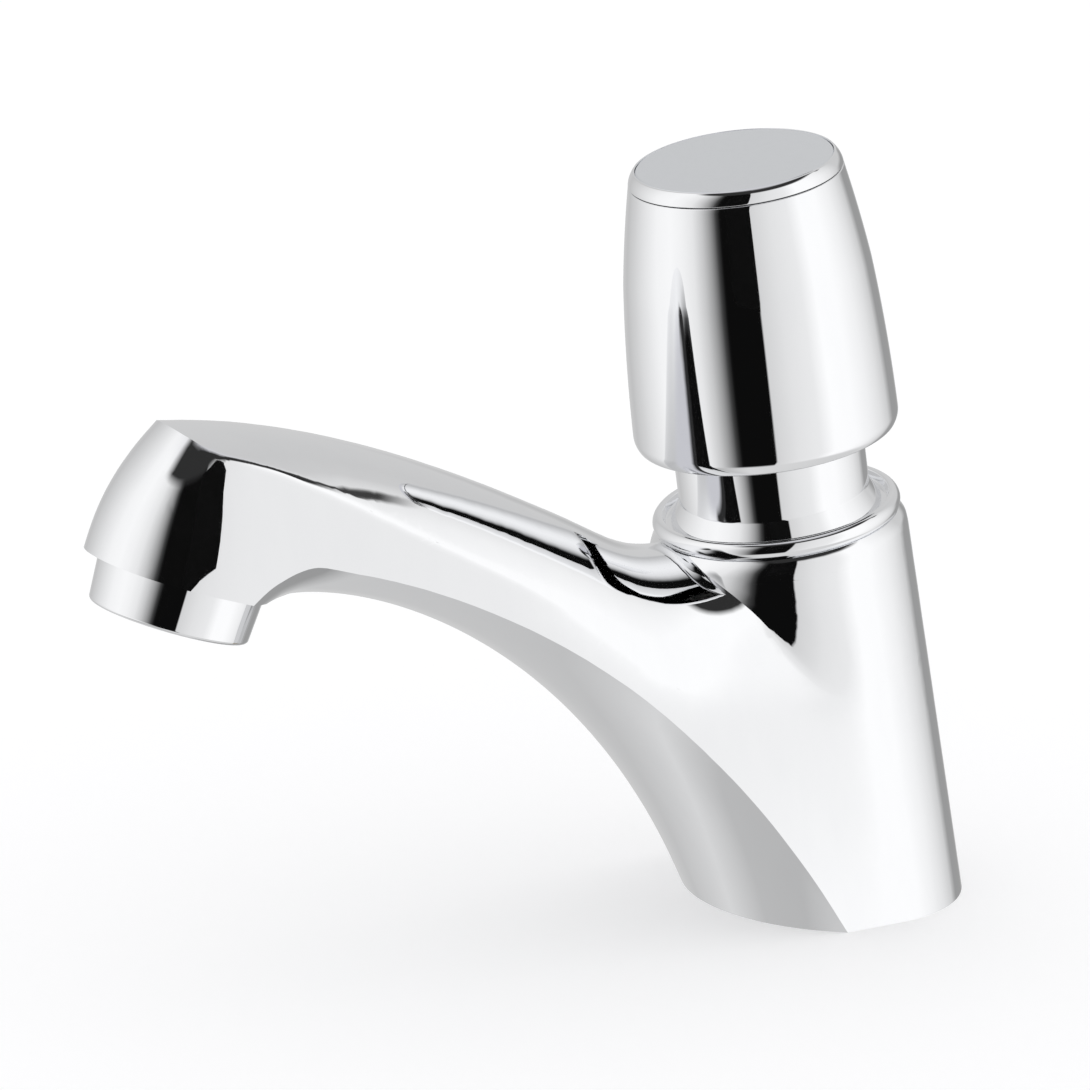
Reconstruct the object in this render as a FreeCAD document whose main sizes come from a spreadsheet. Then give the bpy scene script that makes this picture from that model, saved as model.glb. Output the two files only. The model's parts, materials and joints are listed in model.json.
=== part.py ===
import FreeCAD, Part
import Sketcher
import os
from math import asin, atan2, cos, degrees, pi, radians, sin, sqrt, tan

# A self-closing basin tap with a push button. The origin is on the deck, on the axis of
# the threaded tail. +Z is up and the spout points to -X. Sizes are in millimetres and
# degrees. The valve axis leans towards the spout, and heights along it are measured from
# the deck. Heights along the outlet axis are measured from the rim of the aerator.

SIZES = (
    ("valve_tilt", 8.0, "lean of the valve axis towards the spout"),
    ("valve_foot_x", -1.25, "where the valve axis meets the deck"),
    ("base_front", 23.3, "front edge of the foot from the tail axis"),
    ("base_rear", 22.1, "rear edge of the foot from the tail axis"),
    ("base_half_width", 25.5, "half width of the foot"),
    ("seam_height", 66.4, "top of the body along the valve axis"),
    ("seam_radius", 20.4, "radius of the seam under the collar"),
    ("column_radius", 21.8, "radius of the column just below its rounded top edge"),
    ("shoulder_drop", 3.4, "height of the rounded top edge of the column"),
    ("outlet_x", -123.7, "centre of the aerator's rim"),
    ("outlet_height", 63.8, "height of the aerator's rim above the deck"),
    ("outlet_tilt", 18.8, "how far the outlet leans forward"),
    ("nose_radius", 16.0, "radius of the nose at its lower rim"),
    ("nose_reach", 0.4, "how far the nose stands in front of the outlet axis"),
    ("nose_top_radius", 12.8, "radius of the nose near its top"),
    ("nose_top_height", 18.0, "height of that radius over the rim"),
    ("nose_flare", 0.0444, "slope of the nose's side at the rim"),
    ("nose_spread", 0.003, "how fast the side walls widen below the rim"),
    ("crown_radius", 20.0, "radius across the top of the spout"),
    ("crown_spread", 68.0, "half angle of the crown before it runs straight"),
    ("saddle_height", 63.7, "top line of the spout where it meets the collar"),
    ("saddle_front_x", -36.0, "where the top line starts to climb"),
    ("saddle_reach", 4.9, "how long the top line stays level there"),
    ("peak_x", -130.0, "front end of the top line"),
    ("peak_height", 97.0, "height of the top line at its front end"),
    ("peak_reach", 42.4, "how long the top line stays level over the nose"),
    ("arch_top_x", -104.8, "start of the arch behind the nose"),
    ("arch_top_height", 66.5, "height of the arch behind the nose"),
    ("arch_top_reach", 20.6, "how long the arch stays level"),
    ("arch_foot_x", -19.6, "lower end of the arch line, below the deck"),
    ("arch_foot_drop", 13.3, "depth of that end below the deck"),
    ("arch_foot_angle", 72.8, "steepness of the arch line at the foot"),
    ("arch_foot_reach", 59.4, "how long the arch stays steep"),
    ("belly_radius_nose", 21.5, "radius across the underside at the nose"),
    ("belly_radius_middle", 36.0, "radius across the underside at half way"),
    ("belly_radius_foot", 31.5, "radius across the underside at the foot"),
    ("heel_radius", 9.0, "bend of the underside down to the nose rim"),
    ("waterway_radius", 5.5, "bore of the channel through the spout"),
    ("fit_gap", 0.05, "radial gap of a running or threaded fit"),
    ("groove_gap", 0.05, "room above and below an O-ring in its groove"),
    ("press_gap", 0.1, "radial room of a seat that is pressed home"),
    ("seat_gap", 0.05, "gap under the valve washer"),
    ("collar_height", 3.1, "height of the collar ring"),
    ("collar_bulge", 0.55, "how far the collar stands out past the body"),
    ("collar_undercut", 0.3, "how far the collar's lower edge stands in from the seam"),
    ("collar_step", 0.15, "how far the collar's lower edge flares out"),
    ("collar_round", 0.9, "how far the collar's top edge curls in"),
    ("dish_slope", 0.4, "how far the dish's side leans in"),
    ("dish_floor", 1.6, "floor of the collar's dish above the body"),
    ("dish_radius", 19.2, "radius of the dish"),
    ("neck_radius", 16.05, "radius of the neck sleeve"),
    ("neck_height", 32.0, "height of the neck above the dish floor"),
    ("neck_thread_radius", 14.9, "thread of the neck in the body"),
    ("neck_thread_length", 17.0, "length of that thread"),
    ("skirt_radius", 17.8, "radius of the skirt at the neck's foot"),
    ("skirt_height", 3.6, "height of the skirt"),
    ("skirt_edge", 0.5, "upright edge of the skirt"),
    ("neck_chamfer", 0.8, "chamfer at the top of the neck"),
    ("sleeve_relief", 0.5, "room between the sleeve and the barrel's bore"),
    ("sleeve_lip", 3.0, "thickness of the sleeve's lip under the bush"),
    ("barrel_radius", 13.0, "outer radius of the cartridge barrel"),
    ("barrel_bore", 11.0, "bore of the cartridge barrel"),
    ("barrel_floor", 2.0, "thickness of the barrel's floor"),
    ("barrel_length", 30.0, "length of the cartridge barrel"),
    ("window_width", 8.0, "width of the barrel's windows"),
    ("window_height", 6.0, "height of the barrel's windows"),
    ("window_sill", 2.0, "height of the windows above the barrel's floor"),
    ("chamber_radius", 14.2, "radius of the chamber round the barrel"),
    ("chamber_height", 48.0, "top of that chamber"),
    ("seat_height", 30.0, "underside of the valve seat along the valve axis"),
    ("seat_thickness", 4.0, "thickness of the valve seat"),
    ("seat_radius", 11.4, "outer radius of the valve seat"),
    ("port_radius", 6.0, "bore of the valve seat"),
    ("inlet_radius", 9.5, "radius of the chamber under the seat"),
    ("o_ring_cord", 0.55, "half the thickness of the O-rings"),
    ("stem_end", 0.5, "stem below its nut"),
    ("stem_radius", 3.0, "lower stem of the spindle"),
    ("spindle_radius", 4.0, "upper part of the spindle"),
    ("spigot_radius", 3.2, "top spigot of the spindle"),
    ("piston_height", 50.0, "underside of the piston along the valve axis"),
    ("piston_thickness", 7.0, "thickness of the piston"),
    ("piston_gap", 0.1, "gap between the piston and the barrel"),
    ("washer_radius", 8.0, "radius of the valve washer"),
    ("washer_thickness", 2.95, "thickness of the valve washer"),
    ("backing_radius", 7.5, "radius of the disc behind the valve washer"),
    ("backing_thickness", 2.5, "thickness of that disc"),
    ("stem_nut_height", 3.0, "height of the nut on the stem"),
    ("stem_nut_radius", 4.6, "corner radius of that nut"),
    ("bush_height", 7.0, "height of the guide bush"),
    ("bush_radius", 12.0, "outer radius of the guide bush"),
    ("bush_top_margin", 2.0, "neck above the guide bush"),
    ("clip_thickness", 0.9, "thickness of the retaining clip"),
    ("clip_width", 2.0, "width of the clip's ring"),
    ("clip_angle", 330.0, "how far the clip goes round"),
    ("clip_depth", 0.6, "depth of the clip's groove"),
    ("rim_height", 82.0, "lower rim of the button along the valve axis"),
    ("rim_radius", 21.6, "radius of the button at its lower rim"),
    ("belly_rise", 2.2, "height of the button's widest line over its rim"),
    ("belly_radius", 22.3, "widest radius of the button"),
    ("waist_rise", 15.0, "height of the button's lower flank over its rim"),
    ("waist_radius", 21.85, "radius of the button's lower flank"),
    ("flank_rise", 28.5, "height of the button's upper flank over its rim"),
    ("flank_radius", 20.8, "radius of the button's upper flank"),
    ("brow_rise", 37.0, "height near the top of the button over its rim"),
    ("brow_radius", 19.55, "radius near the top of the button"),
    ("shell_rise", 45.4, "top of the button shell over its rim"),
    ("shell_top_radius", 18.0, "radius of the button shell at its top"),
    ("shell_wall", 1.7, "wall of the button shell at its rim"),
    ("ledge_rise", 32.0, "ledge inside the button shell over its rim"),
    ("shell_bore", 15.5, "bore of the button shell above the ledge"),
    ("rim_bend", 0.2, "how far the bend over the button's rim stands in"),
    ("cap_bend", 0.25, "how far the bend of the cap ring stands in"),
    ("cap_bend_drop", 0.55, "how far that bend lies below the cap's top"),
    ("disc_chamfer", 0.25, "chamfer of the index disc"),
    ("cap_seam", 0.15, "thin seam under the cap ring"),
    ("cap_height", 2.25, "height of the cap ring"),
    ("cap_top_radius", 16.9, "flat top of the cap ring"),
    ("disc_radius", 16.1, "radius of the index disc"),
    ("disc_thickness", 1.2, "thickness of the index disc"),
    ("cap_bore", 13.6, "bore of the cap ring"),
    ("hub_rise", 33.0, "shoulder that carries the hub over the button's rim"),
    ("hub_thickness", 4.0, "thickness of the hub over the spindle"),
    ("hub_boss_radius", 8.0, "radius of the hub's boss"),
    ("hub_flange_radius", 16.9, "radius of the hub's flange"),
    ("hub_flange_thickness", 4.0, "thickness of the hub's flange"),
    ("screw_head_radius", 5.0, "head of the button screw"),
    ("screw_head_height", 2.0, "height of that head"),
    ("screw_radius", 1.95, "shank of the button screw"),
    ("screw_length", 11.0, "length of that shank"),
    ("spring_radius", 8.5, "middle radius of the return spring"),
    ("spring_wire", 0.6, "half the thickness of the spring wire"),
    ("spring_turns", 3.5, "turns of the return spring"),
    ("aerator_drop", 7.85, "how far the aerator stands below the nose"),
    ("aerator_rim_radius", 13.4, "radius of the aerator at its rim"),
    ("aerator_top_radius", 13.9, "radius of the aerator at the nose"),
    ("aerator_thread_radius", 12.0, "M24 thread of the aerator"),
    ("aerator_thread_length", 7.5, "length of that thread"),
    ("aerator_bore", 10.6, "bore of the aerator"),
    ("aerator_lip", 1.5, "height of the lip that holds the insert"),
    ("aerator_lip_depth", 0.6, "how far that lip stands in"),
    ("aerator_chamfer", 0.4, "chamfer at the rim of the aerator"),
    ("insert_height", 4.5, "height of the aerator insert"),
    ("insert_hole_radius", 1.1, "holes in the aerator insert"),
    ("mesh_thickness", 0.5, "thickness of the aerator mesh"),
    ("outlet_washer_thickness", 2.0, "thickness of the washer over the aerator"),
    ("washer_overhang", 0.5, "how far that washer stands clear of the hollow"),
    ("nose_cavity_radius", 8.0, "radius of the hollow above the aerator"),
    ("nose_cavity_height", 24.0, "top of that hollow along the outlet axis"),
    ("tail_radius", 10.4775, "G1/2 thread of the tail"),
    ("tail_bore", 7.5, "bore of the tail"),
    ("tail_chamfer", 0.8, "chamfer at the end of the tail"),
    ("thread_pitch", 1.814, "distance between the thread's ridges"),
    ("thread_depth", 1.16, "height of the thread's ridges"),
    ("thread_crest", 0.36, "flat on top of each ridge"),
    ("thread_runout", 2.0, "plain length between the thread and the foot"),
    ("seal_overhang", 0.7, "how far the tail's seal stands clear of its bore"),
    ("tail_length", 50.0, "length of the tail below the deck"),
    ("tail_engagement", 10.0, "length of the tail inside the body"),
    ("tail_seal_thickness", 1.5, "thickness of the seal over the tail"),
    ("gasket_inner", 15.5, "inner radius of the gasket under the foot"),
    ("gasket_outer", 18.5, "outer radius of the gasket under the foot"),
    ("gasket_depth", 2.0, "depth of that gasket"),
    ("deck_thickness", 22.0, "thickness of the deck that the tap clamps"),
    ("rubber_washer_radius", 20.0, "radius of the rubber washer"),
    ("rubber_washer_thickness", 3.0, "thickness of the rubber washer"),
    ("steel_washer_radius", 18.5, "radius of the steel washer"),
    ("steel_washer_thickness", 1.5, "thickness of the steel washer"),
    ("backnut_radius", 16.2, "corner radius of the backnut"),
    ("backnut_height", 7.0, "height of the backnut"),
)

TOP_STATIONS = 24
ARCH_STATIONS = 16
BELLY_ANGLE = 58.0
LOWEST_LEVEL = -12.0
RIM_LEVEL = 62.0
HIGHEST_LEVEL = 101.0
NOSE_LEVELS = 13
FAR = 150.0
INSERT_RINGS = ((0.28, 6), (0.56, 12), (0.82, 18))
MESH_RINGS = ((0.2, 6), (0.42, 12), (0.64, 18), (0.86, 24))

doc = FreeCAD.newDocument("BasinTap")
sheet = doc.addObject("Spreadsheet::Sheet", "Sizes")


class Size:
    """A length or angle: its present value and the expression that binds to it."""

    def __init__(self, value, text):
        self.value = value
        self.text = text

    def __add__(self, other):
        other = as_size(other)
        return Size(self.value + other.value, f"({self.text} + {other.text})")

    def __sub__(self, other):
        other = as_size(other)
        return Size(self.value - other.value, f"({self.text} - {other.text})")

    def __mul__(self, other):
        other = as_size(other)
        return Size(self.value * other.value, f"({self.text} * {other.text})")

    def __truediv__(self, other):
        other = as_size(other)
        return Size(self.value / other.value, f"({self.text} / {other.text})")

    def __neg__(self):
        return Size(-self.value, f"(-1 * {self.text})")


def as_size(number):
    """Turn a plain number into a Size."""
    if isinstance(number, Size):
        return number
    return Size(float(number), repr(float(number)))


class Dimensions:
    """The driving dimensions, read back from the spreadsheet by name."""

    def __init__(self):
        for row, (name, value, note) in enumerate(SIZES, start=1):
            sheet.set(f"A{row}", name)
            sheet.set(f"B{row}", str(value))
            sheet.set(f"C{row}", note)
            sheet.setAlias(f"B{row}", name)
        doc.recompute()
        for name, _, _ in SIZES:
            setattr(self, name, Size(float(sheet.get(name)), f"Sizes.{name}"))


d = Dimensions()


def bind(item, path, size):
    """Drive one property of an object from the spreadsheet."""
    item.setExpression(path, as_size(size).text)


def stand_on(item, axis):
    """Place an object on the valve axis, the outlet axis or the upright tail axis."""
    item.Placement.Rotation = FreeCAD.Rotation(FreeCAD.Vector(0, 1, 0), 1)
    if axis == "valve":
        bind(item, "Placement.Rotation.Angle", -d.valve_tilt)
        bind(item, "Placement.Base.x", d.valve_foot_x)
    elif axis == "outlet":
        bind(item, "Placement.Rotation.Angle", d.outlet_tilt)
        bind(item, "Placement.Base.x", d.outlet_x)
        bind(item, "Placement.Base.z", d.outlet_height)
    else:
        item.Placement = FreeCAD.Placement()


def new_body(label, axis):
    """Start a named body on one of the tap's axes."""
    body = doc.addObject("PartDesign::Body", label)
    body.Label = label
    stand_on(body, axis)
    return body


def new_sketch(body, role):
    """Add a sketch on one of the body's own origin planes."""
    plane = next(item for item in body.Origin.OriginFeatures if item.Role == role)
    sketch = body.newObject("Sketcher::SketchObject", body.Label + "_sketch")
    sketch.AttachmentSupport = [(plane, "")]
    sketch.MapMode = "FlatFace"
    return sketch


def fix_point(sketch, geometry, point, across, up):
    """Tie a point of a sketch to two sizes, measured from the sketch's origin."""
    for kind, size in (("DistanceX", across), ("DistanceY", up)):
        size = as_size(size)
        index = sketch.addConstraint(Sketcher.Constraint(kind, -1, 1, geometry, point, size.value))
        bind(sketch, f"Constraints[{index}]", size)


def closed_outline(sketch, outline):
    """Draw a closed outline. A corner that has a third entry ends an arc through that point."""
    corners = [(as_size(corner[0]), as_size(corner[1])) for corner in outline]
    for index, corner in enumerate(outline):
        start = corners[index - 1]
        end = corners[index]
        first = FreeCAD.Vector(start[0].value, start[1].value, 0)
        last = FreeCAD.Vector(end[0].value, end[1].value, 0)
        if len(corner) == 2:
            sketch.addGeometry(Part.LineSegment(first, last), False)
            continue
        through = (as_size(corner[2][0]), as_size(corner[2][1]))
        middle = FreeCAD.Vector(through[0].value, through[1].value, 0)
        sketch.addGeometry(Part.Arc(first, middle, last), False)
    fix_outline(sketch, outline, corners)


def fix_outline(sketch, outline, corners):
    """Join the edges of an outline and tie its corners and arcs to their sizes."""
    count = len(outline)
    ends = [edge_ends(sketch.Geometry[index], corners[index]) for index in range(count)]
    for index in range(count):
        following = (index + 1) % count
        joint = Sketcher.Constraint("Coincident", index, ends[index][1], following, ends[following][0])
        sketch.addConstraint(joint)
        fix_point(sketch, index, ends[index][1], *corners[index])
    for index, corner in enumerate(outline):
        if len(corner) == 3:
            across, up = as_size(corner[2][0]), as_size(corner[2][1])
            mark = sketch.addGeometry(Part.Point(FreeCAD.Vector(across.value, up.value, 0)), True)
            fix_point(sketch, mark, 1, across, up)
            sketch.addConstraint(Sketcher.Constraint("PointOnObject", mark, 1, index))


def edge_ends(edge, corner):
    """Return which ends of a sketch edge are its start and its finish at the given corner."""
    finish = FreeCAD.Vector(corner[0].value, corner[1].value, 0)
    if edge.EndPoint.distanceToPoint(finish) < edge.StartPoint.distanceToPoint(finish):
        return 1, 2
    return 2, 1


def revolve(body, sketch, angle):
    """Revolve a sketch about the body's upright axis."""
    turn = body.newObject("PartDesign::Revolution", body.Label + "_turn")
    turn.Profile = sketch
    turn.ReferenceAxis = (sketch, ["V_Axis"])
    turn.Angle = angle
    sketch.Visibility = False
    return turn


def turned(label, axis, outline, angle=360.0):
    """Make a turned piece from the half outline of its section, as radius and height."""
    body = new_body(label, axis)
    sketch = new_sketch(body, "XZ_Plane")
    closed_outline(sketch, outline)
    revolve(body, sketch, angle)
    return body


def o_ring(label, axis, radius, height, cord):
    """Make an O-ring from its middle radius, its height and half its thickness."""
    body = new_body(label, axis)
    sketch = new_sketch(body, "XZ_Plane")
    radius, height, cord = as_size(radius), as_size(height), as_size(cord)
    centre = FreeCAD.Vector(radius.value, height.value, 0)
    sketch.addGeometry(Part.Circle(centre, FreeCAD.Vector(0, 0, 1), cord.value), False)
    fix_point(sketch, 0, 3, radius, height)
    index = sketch.addConstraint(Sketcher.Constraint("Radius", 0, cord.value))
    bind(sketch, f"Constraints[{index}]", cord)
    revolve(body, sketch, 360.0)
    return body


def cross_window(body, role, width, low, high):
    """Cut a rectangular window right through a turned body."""
    sketch = new_sketch(body, role)
    half = width / 2
    closed_outline(sketch, [(-half, low), (half, low), (half, high), (-half, high)])
    cut = body.newObject("PartDesign::Pocket", body.Label + "_window")
    cut.Profile = sketch
    cut.Type = 1
    cut.Midplane = True
    sketch.Visibility = False


def drilled(label, blank, axis, rings, hole_radius, low, high):
    """Drill rings of straight holes through a turned blank, along its axis."""
    holes = []
    for ring_radius, count in rings:
        for index in range(count):
            hole = doc.addObject("Part::Cylinder", f"{label}_hole")
            angle = radians(360.0 * index / count)
            bind(hole, "Radius", hole_radius)
            bind(hole, "Height", high - low)
            place_off_axis(hole, axis, ring_radius * cos(angle), ring_radius * sin(angle), low)
            holes.append(hole)
    tool = doc.addObject("Part::MultiFuse", f"{label}_holes")
    tool.Shapes = holes
    return cut_from(label, blank, tool)


def place_off_axis(item, axis, across, sideways, height):
    """Place an object beside one of the tap's axes, at a height along it."""
    stand_on(item, axis)
    tilt = {"valve": -d.valve_tilt, "outlet": d.outlet_tilt, "tail": as_size(0)}[axis]
    foot_x = {"valve": d.valve_foot_x, "outlet": d.outlet_x, "tail": as_size(0)}[axis]
    foot_z = {"valve": as_size(0), "outlet": d.outlet_height, "tail": as_size(0)}[axis]
    across, height = as_size(across), as_size(height)
    turn = f"{tilt.text} * 1 deg"
    item.setExpression("Placement.Base.x",
                       f"{foot_x.text} + {across.text} * cos({turn}) + {height.text} * sin({turn})")
    bind(item, "Placement.Base.y", sideways)
    item.setExpression("Placement.Base.z",
                       f"{foot_z.text} - {across.text} * sin({turn}) + {height.text} * cos({turn})")


def cut_from(label, blank, tool):
    """Cut one object from another and give the result its label."""
    cut = doc.addObject("Part::Cut", label)
    cut.Base = blank
    cut.Tool = tool
    cut.Label = label
    return cut


def hex_nut(label, axis, corner_radius, bore, low, height):
    """Make a six-sided nut with a plain bore."""
    prism = doc.addObject("Part::Prism", label + "_hex")
    prism.Polygon = 6
    bind(prism, "Circumradius", corner_radius)
    bind(prism, "Height", height)
    place_off_axis(prism, axis, 0, 0, low)
    hole = doc.addObject("Part::Cylinder", label + "_bore")
    bind(hole, "Radius", bore)
    bind(hole, "Height", height + 2)
    place_off_axis(hole, axis, 0, 0, as_size(low) - 1)
    return cut_from(label, prism, hole)


def pocketed(label, blank, axis, corner_radius, low, height):
    """Cut a six-sided key socket into a turned blank."""
    prism = doc.addObject("Part::Prism", label + "_socket")
    prism.Polygon = 6
    bind(prism, "Circumradius", corner_radius)
    bind(prism, "Height", height)
    place_off_axis(prism, axis, 0, 0, low)
    return cut_from(label, blank, prism)


def valve_frame():
    """Return the placement of the valve axis."""
    turn = FreeCAD.Rotation(FreeCAD.Vector(0, 1, 0), -d.valve_tilt.value)
    return FreeCAD.Placement(FreeCAD.Vector(d.valve_foot_x.value, 0, 0), turn)


def outlet_frame():
    """Return the placement of the outlet axis."""
    turn = FreeCAD.Rotation(FreeCAD.Vector(0, 1, 0), d.outlet_tilt.value)
    return FreeCAD.Placement(FreeCAD.Vector(d.outlet_x.value, 0, d.outlet_height.value), turn)


def column_section(height):
    """Return the centre and half axes of the column's level section at a height."""
    tilt = radians(d.valve_tilt.value)
    top = d.seam_height.value * cos(tilt)
    top_x = d.valve_foot_x.value - d.seam_height.value * sin(tilt)
    foot_x = (d.base_rear.value - d.base_front.value) / 2
    foot_length = (d.base_rear.value + d.base_front.value) / 2
    share = height / top
    centre = foot_x + (top_x - foot_x) * share
    length = foot_length + (d.column_radius.value / cos(tilt) - foot_length) * share
    width = d.base_half_width.value + (d.column_radius.value - d.base_half_width.value) * share
    return centre, length, width


def nose_radius_at(height):
    """Return the radius of the nose at a height over its rim, along the outlet axis."""
    flare, rim = d.nose_flare.value, d.nose_radius.value
    if height < 0:
        return rim + flare * height + d.nose_spread.value * height ** 2
    top = d.nose_top_height.value
    curve = (d.nose_top_radius.value - rim - flare * top) / top ** 2
    return rim + flare * height + curve * height ** 2


def nose_edge(level, side):
    """Return the X of the nose's front (-1) or rear (1) edge in a level plane."""
    tilt = radians(d.outlet_tilt.value)
    rim = outlet_frame().multVec(FreeCAD.Vector(-d.nose_reach.value, 0, d.aerator_drop.value))
    low, high = -FAR, FAR
    for _ in range(50):
        middle = (low + high) / 2
        if rim.z + middle * cos(tilt) - side * nose_radius_at(middle) * sin(tilt) < level:
            low = middle
        else:
            high = middle
    return rim.x + low * sin(tilt) + side * nose_radius_at(low) * cos(tilt)


def nose_section(height):
    """Return the centre and half axes of the nose's level section at a height."""
    front, rear = nose_edge(height, -1), nose_edge(height, 1)
    centre = (front + rear) / 2
    local = outlet_frame().inverse().multVec(FreeCAD.Vector(centre, 0, height))
    radius = nose_radius_at(local.z - d.aerator_drop.value)
    off_axis = local.x + d.nose_reach.value
    return centre, (rear - front) / 2, sqrt(radius ** 2 - off_axis ** 2)


def reach(section, angle):
    """Return how far a level section reaches in a direction."""
    centre, length, width = section
    return centre * cos(angle) + sqrt((length * cos(angle)) ** 2 + (width * sin(angle)) ** 2)


def tangent_direction(column, nose):
    """Return the direction of the side wall that touches the column and the nose."""
    low, high = radians(60), radians(120)
    sign = reach(column, low) - reach(nose, low)
    for _ in range(50):
        middle = (low + high) / 2
        if (reach(column, middle) - reach(nose, middle)) * sign > 0:
            low = middle
        else:
            high = middle
    return (low + high) / 2


def section_arc(section, height, start, end):
    """Return an arc of a level section between two angles of its ellipse."""
    centre, length, width = section
    middle = FreeCAD.Vector(centre, 0, height)
    side = FreeCAD.Vector(centre, width, height)
    front = FreeCAD.Vector(centre + length, 0, height)
    if length >= width:
        return Part.ArcOfEllipse(Part.Ellipse(front, side, middle), start, end).toShape()
    opposite = FreeCAD.Vector(centre - length, 0, height)
    turned_back = Part.Ellipse(side, opposite, middle)
    return Part.ArcOfEllipse(turned_back, start - pi / 2, end - pi / 2).toShape()


def section_point(section, height, angle):
    """Return a point on the ellipse of a level section."""
    centre, length, width = section
    return FreeCAD.Vector(centre + length * cos(angle), width * sin(angle), height)


def level_wires(height):
    """Return the outlines of the rear, the spout and the column's front at a height."""
    column, nose = column_section(height), nose_section(height)
    side = tangent_direction(column, nose)
    at_column = atan2(column[2] * sin(side), column[1] * cos(side))
    at_nose = atan2(nose[2] * sin(side), nose[1] * cos(side))
    left = section_point(column, height, at_column)
    right = section_point(column, height, -at_column)
    left_tip = section_point(nose, height, at_nose)
    right_tip = section_point(nose, height, -at_nose)
    chord = Part.LineSegment(right, left).toShape()
    rear = Part.Wire([section_arc(column, height, -at_column, at_column), chord])
    front = Part.Wire([section_arc(column, height, at_column, 2 * pi - at_column), chord])
    spout = Part.Wire([
        Part.LineSegment(left, left_tip).toShape(),
        section_arc(nose, height, at_nose, 2 * pi - at_nose),
        Part.LineSegment(right_tip, right).toShape(),
        chord,
    ])
    return rear, spout, front


def top_curve():
    """Return the climbing part of the spout's top line."""
    saddle = FreeCAD.Vector(d.saddle_front_x.value, 0, d.saddle_height.value)
    peak = FreeCAD.Vector(d.peak_x.value, 0, d.peak_height.value)
    curve = Part.BezierCurve()
    curve.setPoles([
        saddle,
        saddle - FreeCAD.Vector(d.saddle_reach.value, 0, 0),
        peak + FreeCAD.Vector(d.peak_reach.value, 0, 0),
        peak,
    ])
    return curve


def height_on(curve, across):
    """Return the height of a curve where it passes a place along X."""
    low, high = curve.FirstParameter, curve.LastParameter
    falling = curve.value(low).x > curve.value(high).x
    for _ in range(40):
        middle = (low + high) / 2
        if (curve.value(middle).x > across) == falling:
            low = middle
        else:
            high = middle
    return curve.value(low).z


def top_line(across):
    """Return the height of the spout's top line at a place along X."""
    if across >= d.saddle_front_x.value:
        return d.saddle_height.value
    if across <= d.peak_x.value:
        return d.peak_height.value
    return height_on(top_curve(), across)


def crown_wire(across):
    """Return the arched section of the spout's top at a place along X."""
    radius, spread = d.crown_radius.value, radians(d.crown_spread.value)
    middle = top_line(across) - radius
    top = FreeCAD.Vector(across, 0, middle + radius)
    edge_y, edge_z = radius * sin(spread), middle + radius * cos(spread)
    far_y, far_z = edge_y + 2 * radius * cos(spread), edge_z - 2 * radius * sin(spread)
    left, right = FreeCAD.Vector(across, -edge_y, edge_z), FreeCAD.Vector(across, edge_y, edge_z)
    return Part.Wire([
        Part.LineSegment(FreeCAD.Vector(across, -far_y, far_z), left).toShape(),
        Part.Arc(left, top, right).toShape(),
        Part.LineSegment(right, FreeCAD.Vector(across, far_y, far_z)).toShape(),
    ])


def above_spout():
    """Return everything over the crowned top of the spout."""
    start = d.outlet_x.value - 2 * d.nose_radius.value
    end = d.seam_radius.value
    step = (end - start) / (TOP_STATIONS - 1)
    wires = [crown_wire(start + index * step) for index in range(TOP_STATIONS)]
    return Part.makeLoft(wires, False, False).extrude(FreeCAD.Vector(0, 0, FAR)).Solids


def arch_wire():
    """Return the line of the underside, from beyond the nose to below the foot."""
    steep = radians(d.arch_foot_angle.value)
    top = FreeCAD.Vector(d.arch_top_x.value, 0, d.arch_top_height.value)
    foot = FreeCAD.Vector(d.arch_foot_x.value, 0, -d.arch_foot_drop.value)
    curve = Part.BezierCurve()
    curve.setPoles([
        top,
        top + FreeCAD.Vector(d.arch_top_reach.value, 0, 0),
        foot + FreeCAD.Vector(-cos(steep), 0, sin(steep)) * d.arch_foot_reach.value,
        foot,
    ])
    bend = d.heel_radius.value
    lean = radians(45)
    middle = top - FreeCAD.Vector(0, 0, bend)
    heel = Part.Arc(
        middle + FreeCAD.Vector(-sin(lean), 0, cos(lean)) * bend,
        middle + FreeCAD.Vector(-sin(lean / 2), 0, cos(lean / 2)) * bend,
        top,
    )
    drop = FreeCAD.Vector(-cos(lean), 0, -sin(lean)) * (2 * d.nose_radius.value)
    start = Part.LineSegment(heel.StartPoint + drop, heel.StartPoint)
    end = Part.LineSegment(foot, foot + FreeCAD.Vector(cos(steep), 0, -sin(steep)) * d.nose_radius.value)
    return [start.toShape(), heel.toShape(), curve.toShape(), end.toShape()]


def belly_wire(point, along, radius):
    """Return the bulging section of the underside, square to its line."""
    outward = FreeCAD.Vector(along.z, 0, -along.x)
    spread = radians(BELLY_ANGLE)
    centre = point - outward * radius
    sideways = FreeCAD.Vector(0, radius * sin(spread), 0)
    right = centre + outward * (radius * cos(spread)) + sideways
    left = right - sideways * 2
    run = (FreeCAD.Vector(0, cos(spread), 0) - outward * sin(spread)) * radius
    mirrored = FreeCAD.Vector(run.x, -run.y, run.z)
    return Part.Wire([
        Part.LineSegment(left + mirrored, left).toShape(),
        Part.Arc(left, point, right).toShape(),
        Part.LineSegment(right, right + run).toShape(),
    ])


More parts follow.
